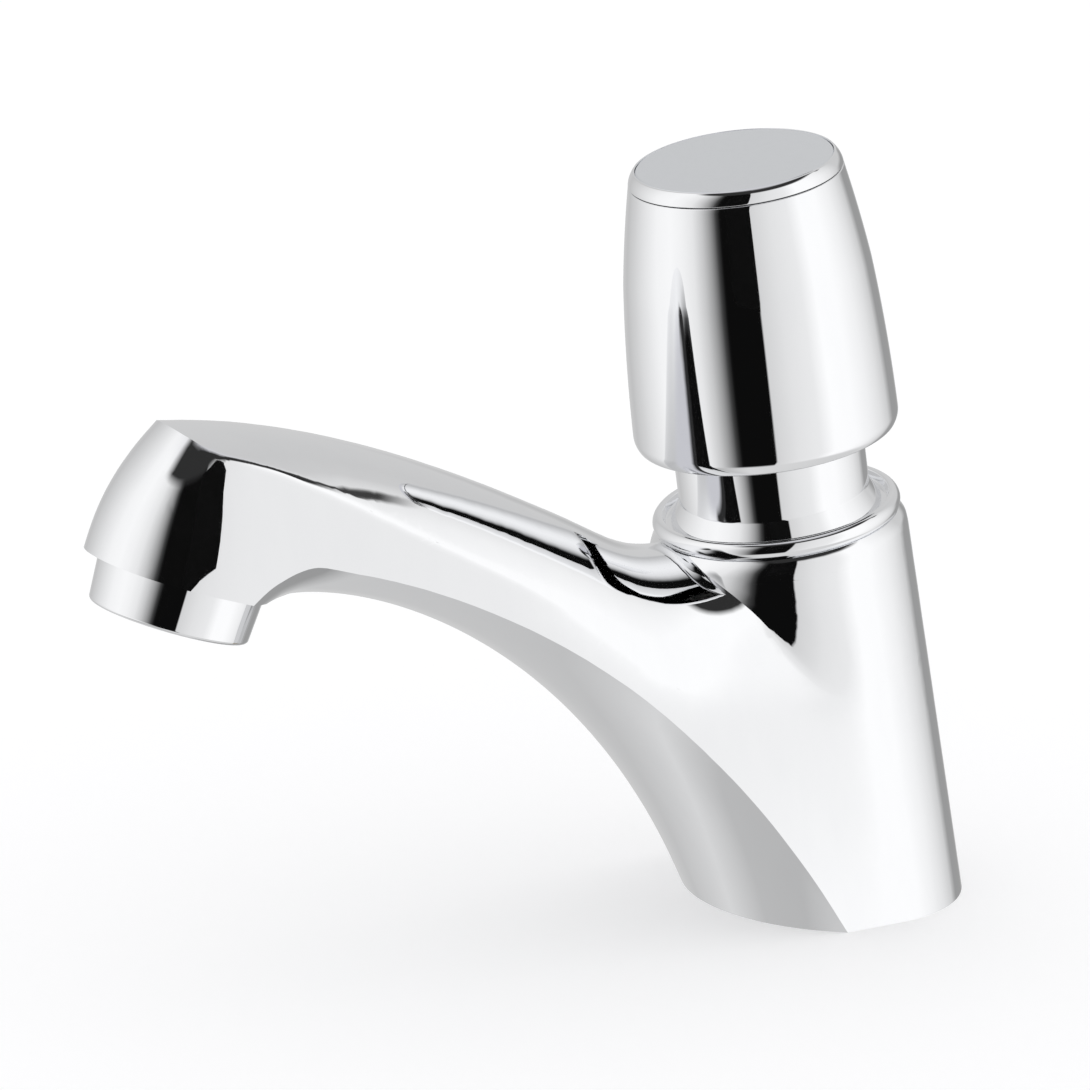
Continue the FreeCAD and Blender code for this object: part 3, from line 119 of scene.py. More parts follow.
class Graph:
    """The node tree of a material or a world, with short calls for the nodes that finishes and light share."""

    def __init__(self, owner: bpy.types.ID) -> None:
        """Turn on the owner's nodes.

        Args:
            owner: the material or the world.
        """
        owner.use_nodes = True
        self.owner = owner
        self.tree = owner.node_tree

    @classmethod
    def of_material(cls, name: str) -> "Graph":
        """Return the graph of a new material with that name."""
        return cls(bpy.data.materials.new(name))

    def put(self, value: object, place: Socket) -> None:
        """Link a socket to an input, or set the input to a plain value."""
        if isinstance(value, Socket):
            self.tree.links.new(value, place)
        else:
            place.default_value = value

    def add(self, kind: str, **settings: object) -> bpy.types.Node:
        """Add a node of a kind, set its attributes and return it."""
        node = self.tree.nodes.new(kind)
        for name, value in settings.items():
            setattr(node, name, value)
        return node

    def feed(self, node: bpy.types.Node, **values: object) -> bpy.types.Node:
        """Set or link a node's inputs by name, with underscores for spaces, and return the node."""
        for name, value in values.items():
            self.put(value, node.inputs[name.replace("_", " ")])
        return node

    def join(self, kind: str, *values: object, **settings: object) -> Socket:
        """Add a node, fill its inputs in their order and return its first output."""
        node = self.add(kind, **settings)
        for place, value in zip(node.inputs, values):
            self.put(value, place)
        return node.outputs[0]

    def reckon(self, operation: str, *numbers: object) -> Socket:
        """Return the result of a calculation on numbers or sockets."""
        return self.join("ShaderNodeMath", *numbers, operation=operation)

    def surface(self, **values: object) -> bpy.types.Node:
        """Set or link the inputs of the material's own shader and return it."""
        return self.feed(self.tree.nodes["Principled BSDF"], **values)

    def point(self, axis: Axis, stretch: Colour = (1.0, 1.0, 1.0)) -> Socket:
        """Return object coordinates laid along an axis.

        Args:
            axis: the piece's axis.
            stretch: how much longer the pattern is along each direction.

        Returns:
            The vector socket.
        """
        place = self.add("ShaderNodeTexCoord").outputs["Object"]
        turned = self.add("ShaderNodeMapping", vector_type="TEXTURE")
        foot = tuple(value * MM for value in axis.foot)
        self.feed(turned, Vector=place, Location=foot, Rotation=(0.0, math.radians(axis.lean), 0.0), Scale=stretch)
        return turned.outputs["Vector"]

    def noise(self, point: Socket, scale: float, detail: float = 2.0) -> Socket:
        """Return a noise from 0 to 1, of scale lumps to the metre with detail layers of finer ones."""
        return self.feed(self.add("ShaderNodeTexNoise"), Vector=point, Scale=scale, Detail=detail).outputs["Fac"]

    def marks(self, point: Socket, grain: Grain, spacing: float) -> Socket:
        """Return tool marks from 0 to 1, in rings round the axis or bands along it, spaced in metres."""
        wave = self.add("ShaderNodeTexWave", wave_type=grain.value, bands_direction="Z", rings_direction="Z")
        self.feed(wave, Vector=point, Scale=math.tau / (20.0 * spacing), Distortion=0.6, Detail=2.0)
        return wave.outputs["Fac"]

    def spread(self, factor: Socket, low: float, high: float) -> Socket:
        """Return a number from low to high as the factor goes from 0.3 to 0.7."""
        ramp = self.add("ShaderNodeMapRange")
        self.feed(ramp, Value=factor, From_Min=0.3, From_Max=0.7, To_Min=low, To_Max=high)
        return ramp.outputs["Result"]

    def between(self, value: Socket, low: float, high: float) -> Socket:
        """Return a soft step from 0 at one value to 1 at another."""
        step = self.add("ShaderNodeMapRange", interpolation_type="SMOOTHSTEP")
        return self.feed(step, Value=value, From_Min=low, From_Max=high).outputs["Result"]

    def blend(self, share: Socket, first: object, second: object) -> Socket:
        """Return a colour that gives way to another by a share.

        Args:
            share: the number socket.
            first: the colour at 0, plain or a socket.
            second: the colour at 1, plain or a socket.

        Returns:
            The colour socket.
        """
        mix = self.add("ShaderNodeMix", data_type="RGBA")
        for place, value in zip(COLOUR_MIX_INPUTS, (share, first, second)):
            self.put(value if isinstance(value, Socket) else (*value, 1.0), mix.inputs[place])
        return mix.outputs[COLOUR_MIX_OUTPUT]

    def ramp(self, value: Socket, stops: Stops) -> Socket:
        """Return a grey that follows a value.

        Args:
            value: the number socket, from 0 to 1.
            stops: places and levels; the end ones hold beyond their places.

        Returns:
            The colour socket.
        """
        node = self.add("ShaderNodeValToRGB")
        self.put(value, node.inputs[0])
        elements = node.color_ramp.elements
        elements[1].position, elements[0].position = stops[-1][0], stops[0][0]
        for place, _ in stops[1:-1]:
            elements.new(place)
        for element, (_, level) in zip(elements, stops):
            element.color = (level, level, level, 1.0)
        return node.outputs["Color"]

    def ring(self, turn: Socket, stops: Stops) -> Socket:
        """Return a grey that goes round the cove, by bearings in degrees, as the turn goes from 0 to 1."""
        return self.ramp(turn, [(degrees / 360.0 + 0.5, level) for degrees, level in stops])

    def relief(self, height: Socket, depth: float, strength: float) -> Socket:
        """Return a normal that rises with the height, over a depth in metres, of which a share shows."""
        return self.feed(self.add("ShaderNodeBump"), Height=height, Distance=depth, Strength=strength).outputs["Normal"]


@dataclass(frozen=True, kw_only=True)
class Finish:
    """A surface that wanders between two colours and two glosses in soft clouds, over its own fine relief."""

    name: str
    colour: Colour
    dim: Colour
    smooth: float
    rough: float
    clouds: float
    detail: float = 3.0
    stretch: Colour = (1.0, 1.0, 1.0)
    metallic: float = 1.0
    shine: float = 0.5

    def material(self, axis: Axis) -> bpy.types.Material:
        """Return the finish laid along an axis."""
        graph = Graph.of_material(self.name)
        cloud = graph.noise(graph.point(axis, self.stretch), self.clouds, self.detail)
        graph.surface(
            Metallic=self.metallic, Specular_IOR_Level=self.shine,
            Base_Color=graph.blend(cloud, self.colour, self.dim),
            Roughness=graph.spread(cloud, self.smooth, self.rough),
            Normal=self.relief(graph, graph.point(axis)))
        return graph.owner


@dataclass(frozen=True, kw_only=True)
class Chrome(Finish):
    """Polished chrome plate: near-white, with the faint swell of a polished casting and a trace of wiping haze."""

    name: str = "polished_chrome"
    colour: Colour = (0.93, 0.935, 0.945)
    dim: Colour = (0.90, 0.905, 0.92)
    smooth: float = 0.012
    rough: float = 0.045
    clouds: float = 260.0
    detail: float = 4.0
    stretch: Colour = (1.0, 1.0, 3.0)
    swell: float = 30.0
    swell_depth: float = 0.00002

    def relief(self, graph: Graph, point: Socket) -> Socket:
        """Return the normal of the faint swell."""
        return graph.relief(graph.noise(point, self.swell, 1.0), self.swell_depth, 0.25)


@dataclass(frozen=True, kw_only=True)
class TurnedMetal(Finish):
    """Machined metal with the tool's rings or bands."""

    clouds: float = 120.0
    grain: Grain
    spacing: float
    depth: float = 0.00001

    def relief(self, graph: Graph, point: Socket) -> Socket:
        """Return the normal of the tool's marks."""
        return graph.relief(graph.marks(point, self.grain, self.spacing), self.depth, 0.5)


@dataclass(frozen=True, kw_only=True)
class Moulded(Finish):
    """Moulded plastic or rubber with a fine matt grain."""

    clouds: float = 90.0
    metallic: float = 0.0
    grain: float
    depth: float = 0.00001

    def relief(self, graph: Graph, point: Socket) -> Socket:
        """Return the normal of the grain."""
        return graph.relief(graph.noise(point, self.grain), self.depth, 0.6)


CHROME = Chrome()
SATIN_CHROME = Chrome(
    name="satin_chrome", colour=(0.88, 0.90, 0.93), dim=(0.85, 0.87, 0.90), smooth=0.10, rough=0.16,
    clouds=700.0, swell=60.0, swell_depth=0.00001)
BRASS = TurnedMetal(
    name="turned_brass", colour=(0.78, 0.60, 0.30), dim=(0.66, 0.47, 0.22), smooth=0.18, rough=0.34,
    grain=Grain.BANDS, spacing=0.00035)
STAINLESS = TurnedMetal(
    name="turned_stainless", colour=(0.68, 0.68, 0.67), dim=(0.56, 0.56, 0.56), smooth=0.22, rough=0.36,
    grain=Grain.RINGS, spacing=0.0003)
ZINC = TurnedMetal(
    name="zinc_plate", colour=(0.74, 0.76, 0.79), dim=(0.62, 0.63, 0.62), smooth=0.28, rough=0.46,
    grain=Grain.RINGS, spacing=0.0006)
RUBBER = Moulded(
    name="black_rubber", colour=(0.030, 0.030, 0.032), dim=(0.050, 0.049, 0.048), smooth=0.55, rough=0.75,
    grain=2600.0, depth=0.00004, shine=0.35)
ACETAL = Moulded(
    name="white_acetal", colour=(0.86, 0.85, 0.81), dim=(0.80, 0.79, 0.74), smooth=0.30, rough=0.42,
    grain=1500.0)
GREY_PLASTIC = Moulded(
    name="grey_plastic", colour=(0.66, 0.67, 0.69), dim=(0.58, 0.59, 0.61), smooth=0.32, rough=0.46,
    grain=1800.0)
SLOT_FINISHES = {
    "chrome_body": CHROME, "chrome_collar": CHROME, "chrome_neck": CHROME, "chrome_button": CHROME,
    "chrome_disc": SATIN_CHROME, "chrome_aerator": CHROME, "brass": BRASS, "stainless": STAINLESS,
    "zinc_plate": ZINC, "rubber_black": RUBBER, "acetal": ACETAL, "insert_plastic": GREY_PLASTIC,
}


@cache
def material_of(slot: str, axis: Axis) -> bpy.types.Material:
    """Return a slot's finish laid along an axis, made once."""
    return SLOT_FINISHES[slot].material(axis)


def arc_through(start: Vector, middle: Vector, end: Vector) -> tuple[Vector, float]:
    """Find the arc through three points of a half section.

    Args:
        start: its first point, as radius and height.
        middle: a point on the way.
        end: its last point.

    Returns:
        The arc's centre and its signed angle.
    """
    first, second = middle - start, end - start
    cross = first.cross(second)
    across = Vector((
        second.y * first.length_squared - first.y * second.length_squared,
        first.x * second.length_squared - second.x * first.length_squared,
    ))
    centre = start + across / (2.0 * cross)
    before, after = start - centre, end - centre
    angle = math.atan2(before.cross(after), before.dot(after))
    if angle * cross < 0.0:
        angle += math.copysign(math.tau, cross)
    return centre, angle


class Outline:
    """Half section of a turned piece, drawn point by point beside its axis, in millimetres."""

    def __init__(self, radius: float, height: float) -> None:
        """Start the outline at a point."""
        self.shape = bmesh.new()
        self.first = self.shape.verts.new((radius, 0.0, height))
        self.last = self.first
        self.corners: list[tuple[float, bmesh.types.BMVert]] = []

    def run(self, *points: tuple[float, ...]) -> "Outline":
        """Draw straight runs.

        Args:
            *points: the end of each as radius, height and, where the corner there is rounded, its radius.

        Returns:
            The outline itself.
        """
        for radius, height, *soft in points:
            point = self.shape.verts.new((radius, 0.0, height))
            self.shape.edges.new((self.last, point))
            self.last = point
            self.corners.extend((offset, point) for offset in soft)
        return self

    def arc(self, through: Pair, end: Pair, steps: int = 20, soft: float = 0.0) -> "Outline":
        """Draw an arc by turning the last point about the arc's centre.

        Args:
            through: radius and height of a point on the way.
            end: radius and height of its end.
            steps: runs along it.
            soft: radius that rounds the corner at its end.

        Returns:
            The outline itself.
        """
        start = Vector((self.last.co.x, self.last.co.z))
        centre, angle = arc_through(start, Vector(through), Vector(end))
        swept = bmesh.ops.spin(
            self.shape, geom=[self.last], cent=(centre.x, 0.0, centre.y), axis=(0.0, -1.0, 0.0), angle=angle,
            steps=steps)
        self.last = next(item for item in swept["geom_last"] if isinstance(item, bmesh.types.BMVert))
        if soft:
            self.corners.append((soft, self.last))
        return self

    def turn(self, steps: int = 160, closed: bool = True) -> Shape:
        """Round the corners and turn the outline once round its axis.

        Args:
            steps: sides of the turned piece.
            closed: whether the last point is joined to the first.

        Returns:
            The turned mesh.
        """
        if closed:
            self.shape.edges.new((self.last, self.first))
        for soft, corner in self.corners:
            bmesh.ops.bevel(
                self.shape, geom=[corner], offset=soft, offset_type="OFFSET", segments=5, profile=0.5,
                affect="VERTICES", material=-1, clamp_overlap=True)
        whole = [*self.shape.verts, *self.shape.edges]
        bmesh.ops.spin(
            self.shape, geom=whole, cent=(0.0, 0.0, 0.0), axis=(0.0, 0.0, 1.0), angle=math.tau, steps=steps,
            use_merge=True)
        bmesh.ops.remove_doubles(self.shape, verts=self.shape.verts, dist=DRAWN_WELD)
        bmesh.ops.recalc_face_normals(self.shape, faces=self.shape.faces)
        return self.shape


@dataclass(frozen=True)
class Role:
    """Where a finished mesh belongs: its body, its slot and the CAD nodes that it stands for."""

    body: str
    slot: str
    nodes: tuple[str, ...]


def link_mesh(shape: Shape, name: str, material: bpy.types.Material) -> bpy.types.Object:
    """Put a mesh in the scene with its material.

    Args:
        shape: the mesh in the row frame, which is used up.
        name: the object's name.
        material: its material.

    Returns:
        The object.
    """
    mesh = bpy.data.meshes.new(name)
    shape.to_mesh(mesh)
    shape.free()
    mesh.materials.append(material)
    item = bpy.data.objects.new(name, mesh)
    bpy.context.scene.collection.objects.link(item)
    return item


def settle(shape: Shape, name: str, axis: Axis, role: Role, sharp: float = 32.0) -> bpy.types.Object:
    """Put a mesh drawn in millimetres on its axis, then dress it, with the same arguments as dress."""
    bmesh.ops.transform(shape, matrix=axis.matrix(), verts=shape.verts)
    return dress(shape, name, axis, role, sharp)


def dress(
        shape: Shape, name: str, axis: Axis, role: Role, sharp: float,
        weighted: bool = True) -> bpy.types.Object:
    """Make a mesh that is already in place a finished piece.

    Args:
        shape: the mesh in the row frame, which is used up.
        name: the piece's name.
        axis: the axis that its finish lies along.
        role: its body, slot and CAD nodes.
        sharp: angle in degrees over which an edge stays sharp.
        weighted: whether its large faces keep their shading flat.

    Returns:
        The piece.
    """
    piece = link_mesh(shape, name, material_of(role.slot, axis))
    piece.data.shade_smooth()
    piece.data.set_sharp_from_angle(angle=math.radians(sharp))
    if weighted:
        piece.modifiers.new("even_shading", "WEIGHTED_NORMAL").keep_sharp = True
    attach(piece, role.body)
    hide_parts(*role.nodes)
    LOG.info("%s: %d faces, rides on %s", name, len(piece.data.polygons), role.body)
    return piece


@dataclass(frozen=True)
class Wheel:
    """A polishing wheel: how far it reaches, the cells that it gathers, and the angle over which an edge stays.

    An edge a little under that angle is partly evened out, by a soft step as wide as the margin on both sides.
    """

    reach: float
    cell: float
    sharp: float
    margin: float = 6.0
    directions: float = 2.0


class Skin:
    """Normals of a casting's skin, gathered in small cells so that they can be evened out."""

    def __init__(self, shape: Shape, wheel: Wheel) -> None:
        """Gather the true normals.

        Args:
            shape: the casting's mesh, with its true normals at the corners.
            wheel: the wheel that will even them.
        """
        truth = shape.loops.layers.float_vector["true_normal"]
        hollow = shape.faces.layers.int["hollow"]
        cells: dict[tuple[int, ...], list] = {}
        for face in shape.faces:
            area = face.calc_area()
            if face[hollow] or not area:
                continue
            normal = sum((corner[truth] for corner in face.loops), Vector()).normalized()
            middle = face.calc_center_median()
            key = (
                *(round(value / wheel.cell) for value in middle),
                *(round(value * wheel.directions) for value in normal))
            held = cells.setdefault(key, [Vector(), Vector(), 0.0])
            held[0] += middle * area
            held[1] += normal * area
            held[2] += area
        self.wheel = wheel
        self.low = math.cos(math.radians(wheel.sharp + wheel.margin))
        self.high = math.cos(math.radians(wheel.sharp - wheel.margin))
        self.normals = [held[1] for held in cells.values()]
        self.tree = KDTree(len(cells))
        for index, (middle, _, area) in enumerate(cells.values()):
            self.tree.insert(middle / area, index)
        self.tree.balance()

    def even(self, point: Vector, normal: Vector) -> Vector:
        """Return the mean normal round a point, leaving out the far side of any sharp edge.

        Args:
            point: the point.
            normal: the normal there.

        Returns:
            The mean normal.
        """
        total = Vector()
        for _, index, distance in self.tree.find_range(point, self.wheel.reach):
            other = self.normals[index]
            likeness = (other.dot(normal) / other.length - self.low) / (self.high - self.low)
            if likeness > 0.0:
                total += other * (min(likeness, 1.0) * (1.0 - (distance / self.wheel.reach) ** 2) ** 2)
        return total.normalized() if total.length else normal


@dataclass
class BodyCasting:
    """The one-piece body: column, spout and nose."""

    node: str = "tap_body"
    grain: float = 0.0025
    fine_grain: float = 0.0007
    splits: int = 7
    pulls: int = 6
    sliver: float = 0.00001
    lift: float = 0.00005
    alike: float = 1.0
    blend: Wheel = Wheel(reach=0.008, cell=0.0016, sharp=23.0)
    rounding: Wheel = Wheel(reach=0.0016, cell=0.0004, sharp=40.0)

    def merged(self, frame: dict) -> Shape:
        """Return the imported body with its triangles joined, its true normals kept and its hollows marked."""
        packed = frame["nodes"][self.node].data.copy()
        truth = packed.attributes.new("true_normal", "FLOAT_VECTOR", "CORNER")
        for corner, normal in zip(truth.data, packed.corner_normals):
            corner.vector = normal.vector
        shape = bmesh.new()
        shape.from_mesh(packed)
        bmesh.ops.remove_doubles(shape, verts=shape.verts, dist=PACKED_WELD)
        bmesh.ops.dissolve_degenerate(shape, edges=shape.edges, dist=self.sliver)
        bmesh.ops.triangulate(shape, faces=shape.faces)
        shape.normal_update()
        hollow = shape.faces.layers.int.new("hollow")
        shape.faces.ensure_lookup_table()
        tree = BVHTree.FromBMesh(shape)
        for face in shape.faces:
            start = face.calc_center_median() + face.normal * self.lift
            face[hollow] = tree.ray_cast(start, face.normal)[0] is not None
        return shape

    def is_soft(self, edge: bmesh.types.BMEdge) -> bool:
        """Return whether an edge is one that the casting rounds off."""
        low, high = math.radians(self.blend.sharp), math.radians(self.rounding.sharp)
        return len(edge.link_faces) == 2 and low < edge.calc_face_angle() < high

    def refine(self, shape: Shape) -> None:
        """Split the skin's long edges until its triangles are small, and smaller still along rounded edges."""
        hollow = shape.faces.layers.int["hollow"]
        for _ in range(self.splits):
            shape.normal_update()
            skin = [edge for edge in shape.edges if any(not face[hollow] for face in edge.link_faces)]
            soft = {vertex for edge in skin if self.is_soft(edge) for vertex in edge.verts}
            long = [
                edge for edge in skin
                if edge.calc_length() > (self.fine_grain if soft.intersection(edge.verts) else self.grain)]
            bmesh.ops.subdivide_edges(shape, edges=long, cuts=1)
            bmesh.ops.triangulate(shape, faces=shape.faces)

    def even_out(self, shape: Shape, wheel: Wheel) -> None:
        """Run a wheel over the true normals of the skin."""
        truth = shape.loops.layers.float_vector["true_normal"]
        hollow = shape.faces.layers.int["hollow"]
        skin = Skin(shape, wheel)
        alike = math.cos(math.radians(self.alike))
        for vertex in shape.verts:
            done: list[tuple[Vector, Vector]] = []
            for corner in vertex.link_loops:
                if corner.face[hollow]:
                    continue
                own = corner[truth].copy()
                mean = next((mean for first, mean in done if first.dot(own) > alike), None)
                if mean is None:
                    mean = skin.even(vertex.co, own)
                    done.append((own, mean))
                corner[truth] = mean

    def follow(self, shape: Shape) -> None:
        """Move the skin's points until its faces lie square to their polished normals."""
        truth = shape.loops.layers.float_vector["true_normal"]
        hollow = shape.faces.layers.int["hollow"]
        normals = {face: sum((corner[truth] for corner in face.loops), Vector()).normalized() for face in shape.faces}
        areas = {face: face.calc_area() for face in shape.faces}
        skin = [vertex for vertex in shape.verts if not any(face[hollow] for face in vertex.link_faces)]
        low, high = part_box(self.node)
        for _ in range(self.pulls):
            for vertex in skin:
                around = [face for face in vertex.link_faces if areas[face]]
                for face in around:
                    share = areas[face] / sum(areas[other] for other in around)
                    vertex.co += normals[face] * (share * normals[face].dot(face.calc_center_median() - vertex.co))
                vertex.co = [min(max(value, least), most) for value, least, most in zip(vertex.co, low, high)]

    def build(self, frame: dict) -> None:
        """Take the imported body, join its loose triangles and polish it."""
        shape = self.merged(frame)
        self.refine(shape)
        for wheel in (self.blend, self.rounding):
            self.even_out(shape, wheel)
        self.follow(shape)
        truth = shape.loops.layers.float_vector["true_normal"]
        normals = [corner[truth].copy() for face in shape.faces for corner in face.loops]
        role = Role("tap", "chrome_body", (self.node,))
        piece = dress(shape, "body_casting", VALVE, role, self.rounding.sharp, weighted=False)
        for name in ("true_normal", "hollow"):
            piece.data.attributes.remove(piece.data.attributes[name])
        piece.data.normals_split_custom_set(normals)


@dataclass
class Collar:
    """Ring on top of the body, with a shallow dish round the neck."""

    seam: float = 66.4
    top: float = 69.5
    foot_radius: float = 20.1
    lip: Pair = (20.55, 66.85)
    lip_round: float = 0.1
    widest: Pair = (20.95, 68.105)
    crown_radius: float = 20.05
    crown_round: float = 0.25
    dish: float = 19.2
    dish_foot: float = 18.8
    dish_round: float = 0.3
    floor: float = 68.0
    bore: float = 14.95
    arc_steps: int = 14

    def build(self) -> None:
        """Turn the ring and seat it on the body."""
        ring = Outline(self.bore, self.seam)
        ring.run((self.foot_radius, self.seam, self.lip_round), (*self.lip, self.lip_round))
        ring.arc(self.widest, (self.crown_radius, self.top), self.arc_steps, self.crown_round)
        ring.run(
            (self.dish, self.top, self.crown_round), (self.dish_foot, self.floor, self.dish_round),
            (self.bore, self.floor))
        settle(ring.turn(), "dished_collar", VALVE, Role("tap", "chrome_collar", ("collar_ring",)))


@dataclass
class Neck:
    """Chromed sleeve between the collar and the button, with its seats for the bush, the clip and the barrel."""

    foot: float = 51.0
    floor: float = 68.0
    top: float = 100.0
    thread_radius: float = 14.9
    skirt_radius: float = 17.8
    skirt_edge: float = 68.5
    skirt_top: float = 71.6
    skirt_round: float = 0.15
    radius: float = 16.05
    chamfer: float = 0.8
    chamfer_round: float = 0.3
    edge_round: float = 0.2
    bush_bore: float = 12.05
    bush_low: float = 91.0
    bush_top: float = 98.0
    clip_top: float = 98.95
    clip_radius: float = 12.65
    shoulder_radius: float = 8.0
    shoulder_low: float = 88.0
    chamber_radius: float = 11.5
    barrel_top: float = 64.0
    barrel_radius: float = 13.05

    def build(self) -> None:
        """Turn the sleeve."""
        sleeve = Outline(self.barrel_radius, self.foot).run(
            (self.thread_radius, self.foot, self.chamfer_round), (self.thread_radius, self.floor),
            (self.skirt_radius, self.floor), (self.skirt_radius, self.skirt_edge, self.edge_round),
            (self.radius, self.skirt_top, self.skirt_round),
            (self.radius, self.top - self.chamfer, self.chamfer_round),
            (self.radius - self.chamfer, self.top, self.chamfer_round), (self.bush_bore, self.top, self.edge_round),
            (self.bush_bore, self.clip_top), (self.clip_radius, self.clip_top), (self.clip_radius, self.bush_top),
            (self.bush_bore, self.bush_top), (self.bush_bore, self.bush_low), (self.shoulder_radius, self.bush_low),
            (self.shoulder_radius, self.shoulder_low), (self.chamber_radius, self.shoulder_low),
            (self.chamber_radius, self.barrel_top), (self.barrel_radius, self.barrel_top))
        settle(sleeve.turn(), "neck_tube", VALVE, Role("tap", "chrome_neck", ("neck_sleeve",)))


@dataclass
class PushButton:
    """The button that is pressed: its shell, the ring on top and the disc let into it."""

    sides: int = 192
    rim_height: float = 82.0
    rim_radius: float = 21.6
    rim_round: float = 0.25
    bend: Pair = (22.1, 82.92)
    bend_steps: int = 8
    inner_radius: float = 20.6
    belly: Pair = (22.3, 84.2)
    waist: Pair = (21.85, 97.0)
    flank: Pair = (20.8, 110.5)
    flank_steps: int = 24
    brow: Pair = (19.55, 119.0)
    shell_top: float = 127.4
    top_radius: float = 18.0
    top_round: float = 0.2
    ledge: float = 114.0
    bore: float = 15.5
    flange_bore: float = 17.0
    flange_low: float = 110.0
    seam: float = 127.55
    seam_round: float = 0.12
    spigot: float = 15.4
    cone: Pair = (17.58, 128.85)
    cone_top: Pair = (17.15, 129.5)
    cone_steps: int = 8
    ring_top: float = 16.9
    ring_round: float = 0.15
    ring_bore: float = 13.6
    hub_top: float = 119.05
    top: float = 129.8
    disc_radius: float = 16.6
    disc_bore: float = 16.64
    disc_low: float = 128.6
    disc_chamfer: float = 0.25
    fine_round: float = 0.1
    fit_round: float = 0.05

    def build_shell(self) -> None:
        """Turn the bellied shell."""
        shell = Outline(self.inner_radius, self.rim_height)
        shell.run((self.rim_radius, self.rim_height, self.rim_round))
        shell.arc(self.bend, self.belly, self.bend_steps)
        shell.arc(self.waist, self.flank, self.flank_steps)
        shell.arc(self.brow, (self.top_radius, self.shell_top), soft=self.top_round)
        shell.run(
            (self.bore, self.shell_top), (self.bore, self.ledge), (self.flange_bore, self.ledge),
            (self.flange_bore, self.flange_low))
        role = Role("button", "chrome_button", ("button_shell",))
        settle(shell.turn(self.sides), "button_barrel", VALVE, role)

    def build_ring(self) -> None:
        """Turn the conical ring over the thin seam."""
        ring = Outline(self.ring_bore, self.hub_top)
        ring.run((self.spigot, self.hub_top), (self.spigot, self.seam), (self.top_radius, self.seam, self.seam_round))
        ring.arc(self.cone, self.cone_top, self.cone_steps, self.fine_round)
        ring.run(
            (self.ring_top, self.top, self.ring_round), (self.disc_bore, self.top, self.fit_round),
            (self.disc_bore, self.disc_low), (self.ring_bore, self.disc_low))
        role = Role("button", "chrome_button", ("button_cap",))
        settle(ring.turn(self.sides), "button_crown_ring", VALVE, role)

    def build_disc(self) -> None:
        """Turn the bare satin disc with its fine chamfer."""
        disc = Outline(0.0, self.disc_low).run(
            (self.disc_radius, self.disc_low), (self.disc_radius, self.top - self.disc_chamfer, self.fine_round),
            (self.disc_radius - self.disc_chamfer, self.top, self.fine_round),
            (self.disc_radius / 2.0, self.top), (0.0, self.top))
        role = Role("button", "chrome_disc", ("index_disc",))
        settle(disc.turn(self.sides, closed=False), "button_disc", VALVE, role)

    def build(self) -> None:
        """Build the button's three shown pieces."""
        self.build_shell()
        self.build_ring()
        self.build_disc()


@dataclass
class Aerator:
    """The aerator screwed into the nose: its ring and the plastic honeycomb behind the lip."""

    drop: float = 7.85
    rim_radius: float = 13.4
    rim_chamfer: float = 0.4
    rim_round: float = 0.2
    top_radius: float = 13.9
    top_round: float = 0.1
    thread_radius: float = 12.0
    thread_length: float = 7.5
    thread_round: float = 0.3
    bore: float = 10.6
    mouth: float = 10.0
    lip: float = 1.5
    comb_radius: float = 10.55
    comb_height: float = 4.5
    comb_rim: float = 1.3
    comb_round: float = 0.15
    web_set_back: float = 0.4
    web_height: float = 3.9
    cell: float = 1.15
    rib: float = 0.17
    rim_sides: int = 96

    def build_ring(self) -> None:
        """Turn the chromed ring with its thread's shank."""
        top = self.drop + self.thread_length
        ring = Outline(self.mouth, 0.0).run(
            (self.rim_radius - self.rim_chamfer, 0.0, self.rim_round),
            (self.rim_radius, self.rim_chamfer, self.rim_round), (self.top_radius, self.drop, self.top_round),
            (self.thread_radius, self.drop), (self.thread_radius, top, self.thread_round),
            (self.bore, top), (self.bore, self.lip), (self.mouth, self.lip, self.rim_round))
        settle(ring.turn(), "aerator_ring", OUTLET, Role("tap", "chrome_aerator", ("aerator_housing",)))

    def webs(self) -> Shape:
        """Return a round honeycomb of square cells, cut out of a grid."""
        cells = 2 * math.ceil(self.comb_radius / self.cell)
        comb = bmesh.new()
        bmesh.ops.create_grid(comb, x_segments=cells, y_segments=cells, size=cells * self.cell / 2.0)
        reach = self.comb_radius - self.cell
        beyond = [face for face in comb.faces if face.calc_center_median().length > reach]
        bmesh.ops.delete(comb, geom=beyond, context="FACES")
        webs = set(bmesh.ops.inset_individual(comb, faces=comb.faces, thickness=self.rib)["faces"])
        holes = [face for face in comb.faces if face not in webs]
        bmesh.ops.delete(comb, geom=holes, context="FACES_ONLY")
        bmesh.ops.remove_doubles(comb, verts=comb.verts, dist=MM)
        bmesh.ops.solidify(comb, geom=comb.faces, thickness=self.web_height)
        low = min(vertex.co.z for vertex in comb.verts)
        bmesh.ops.translate(comb, vec=(0.0, 0.0, self.lip + self.web_set_back - low), verts=comb.verts)
        return comb

    def build_comb(self) -> None:
        """Set the honeycomb in its rim behind the lip."""
        inner, top = self.comb_radius - self.comb_rim, self.lip + self.comb_height
        rim = Outline(inner, self.lip).run(
            (self.comb_radius, self.lip, self.comb_round), (self.comb_radius, top, self.comb_round), (inner, top))
        spare = bpy.data.meshes.new("comb_rim")
        rim.turn(self.rim_sides).to_mesh(spare)
        comb = self.webs()
        comb.from_mesh(spare)
        bmesh.ops.recalc_face_normals(comb, faces=comb.faces)
        settle(comb, "aerator_comb", OUTLET, Role("tap", "insert_plastic", ("aerator_insert",)))

    def build(self) -> None:
        """Build the ring and the comb."""
        self.build_ring()
        self.build_comb()


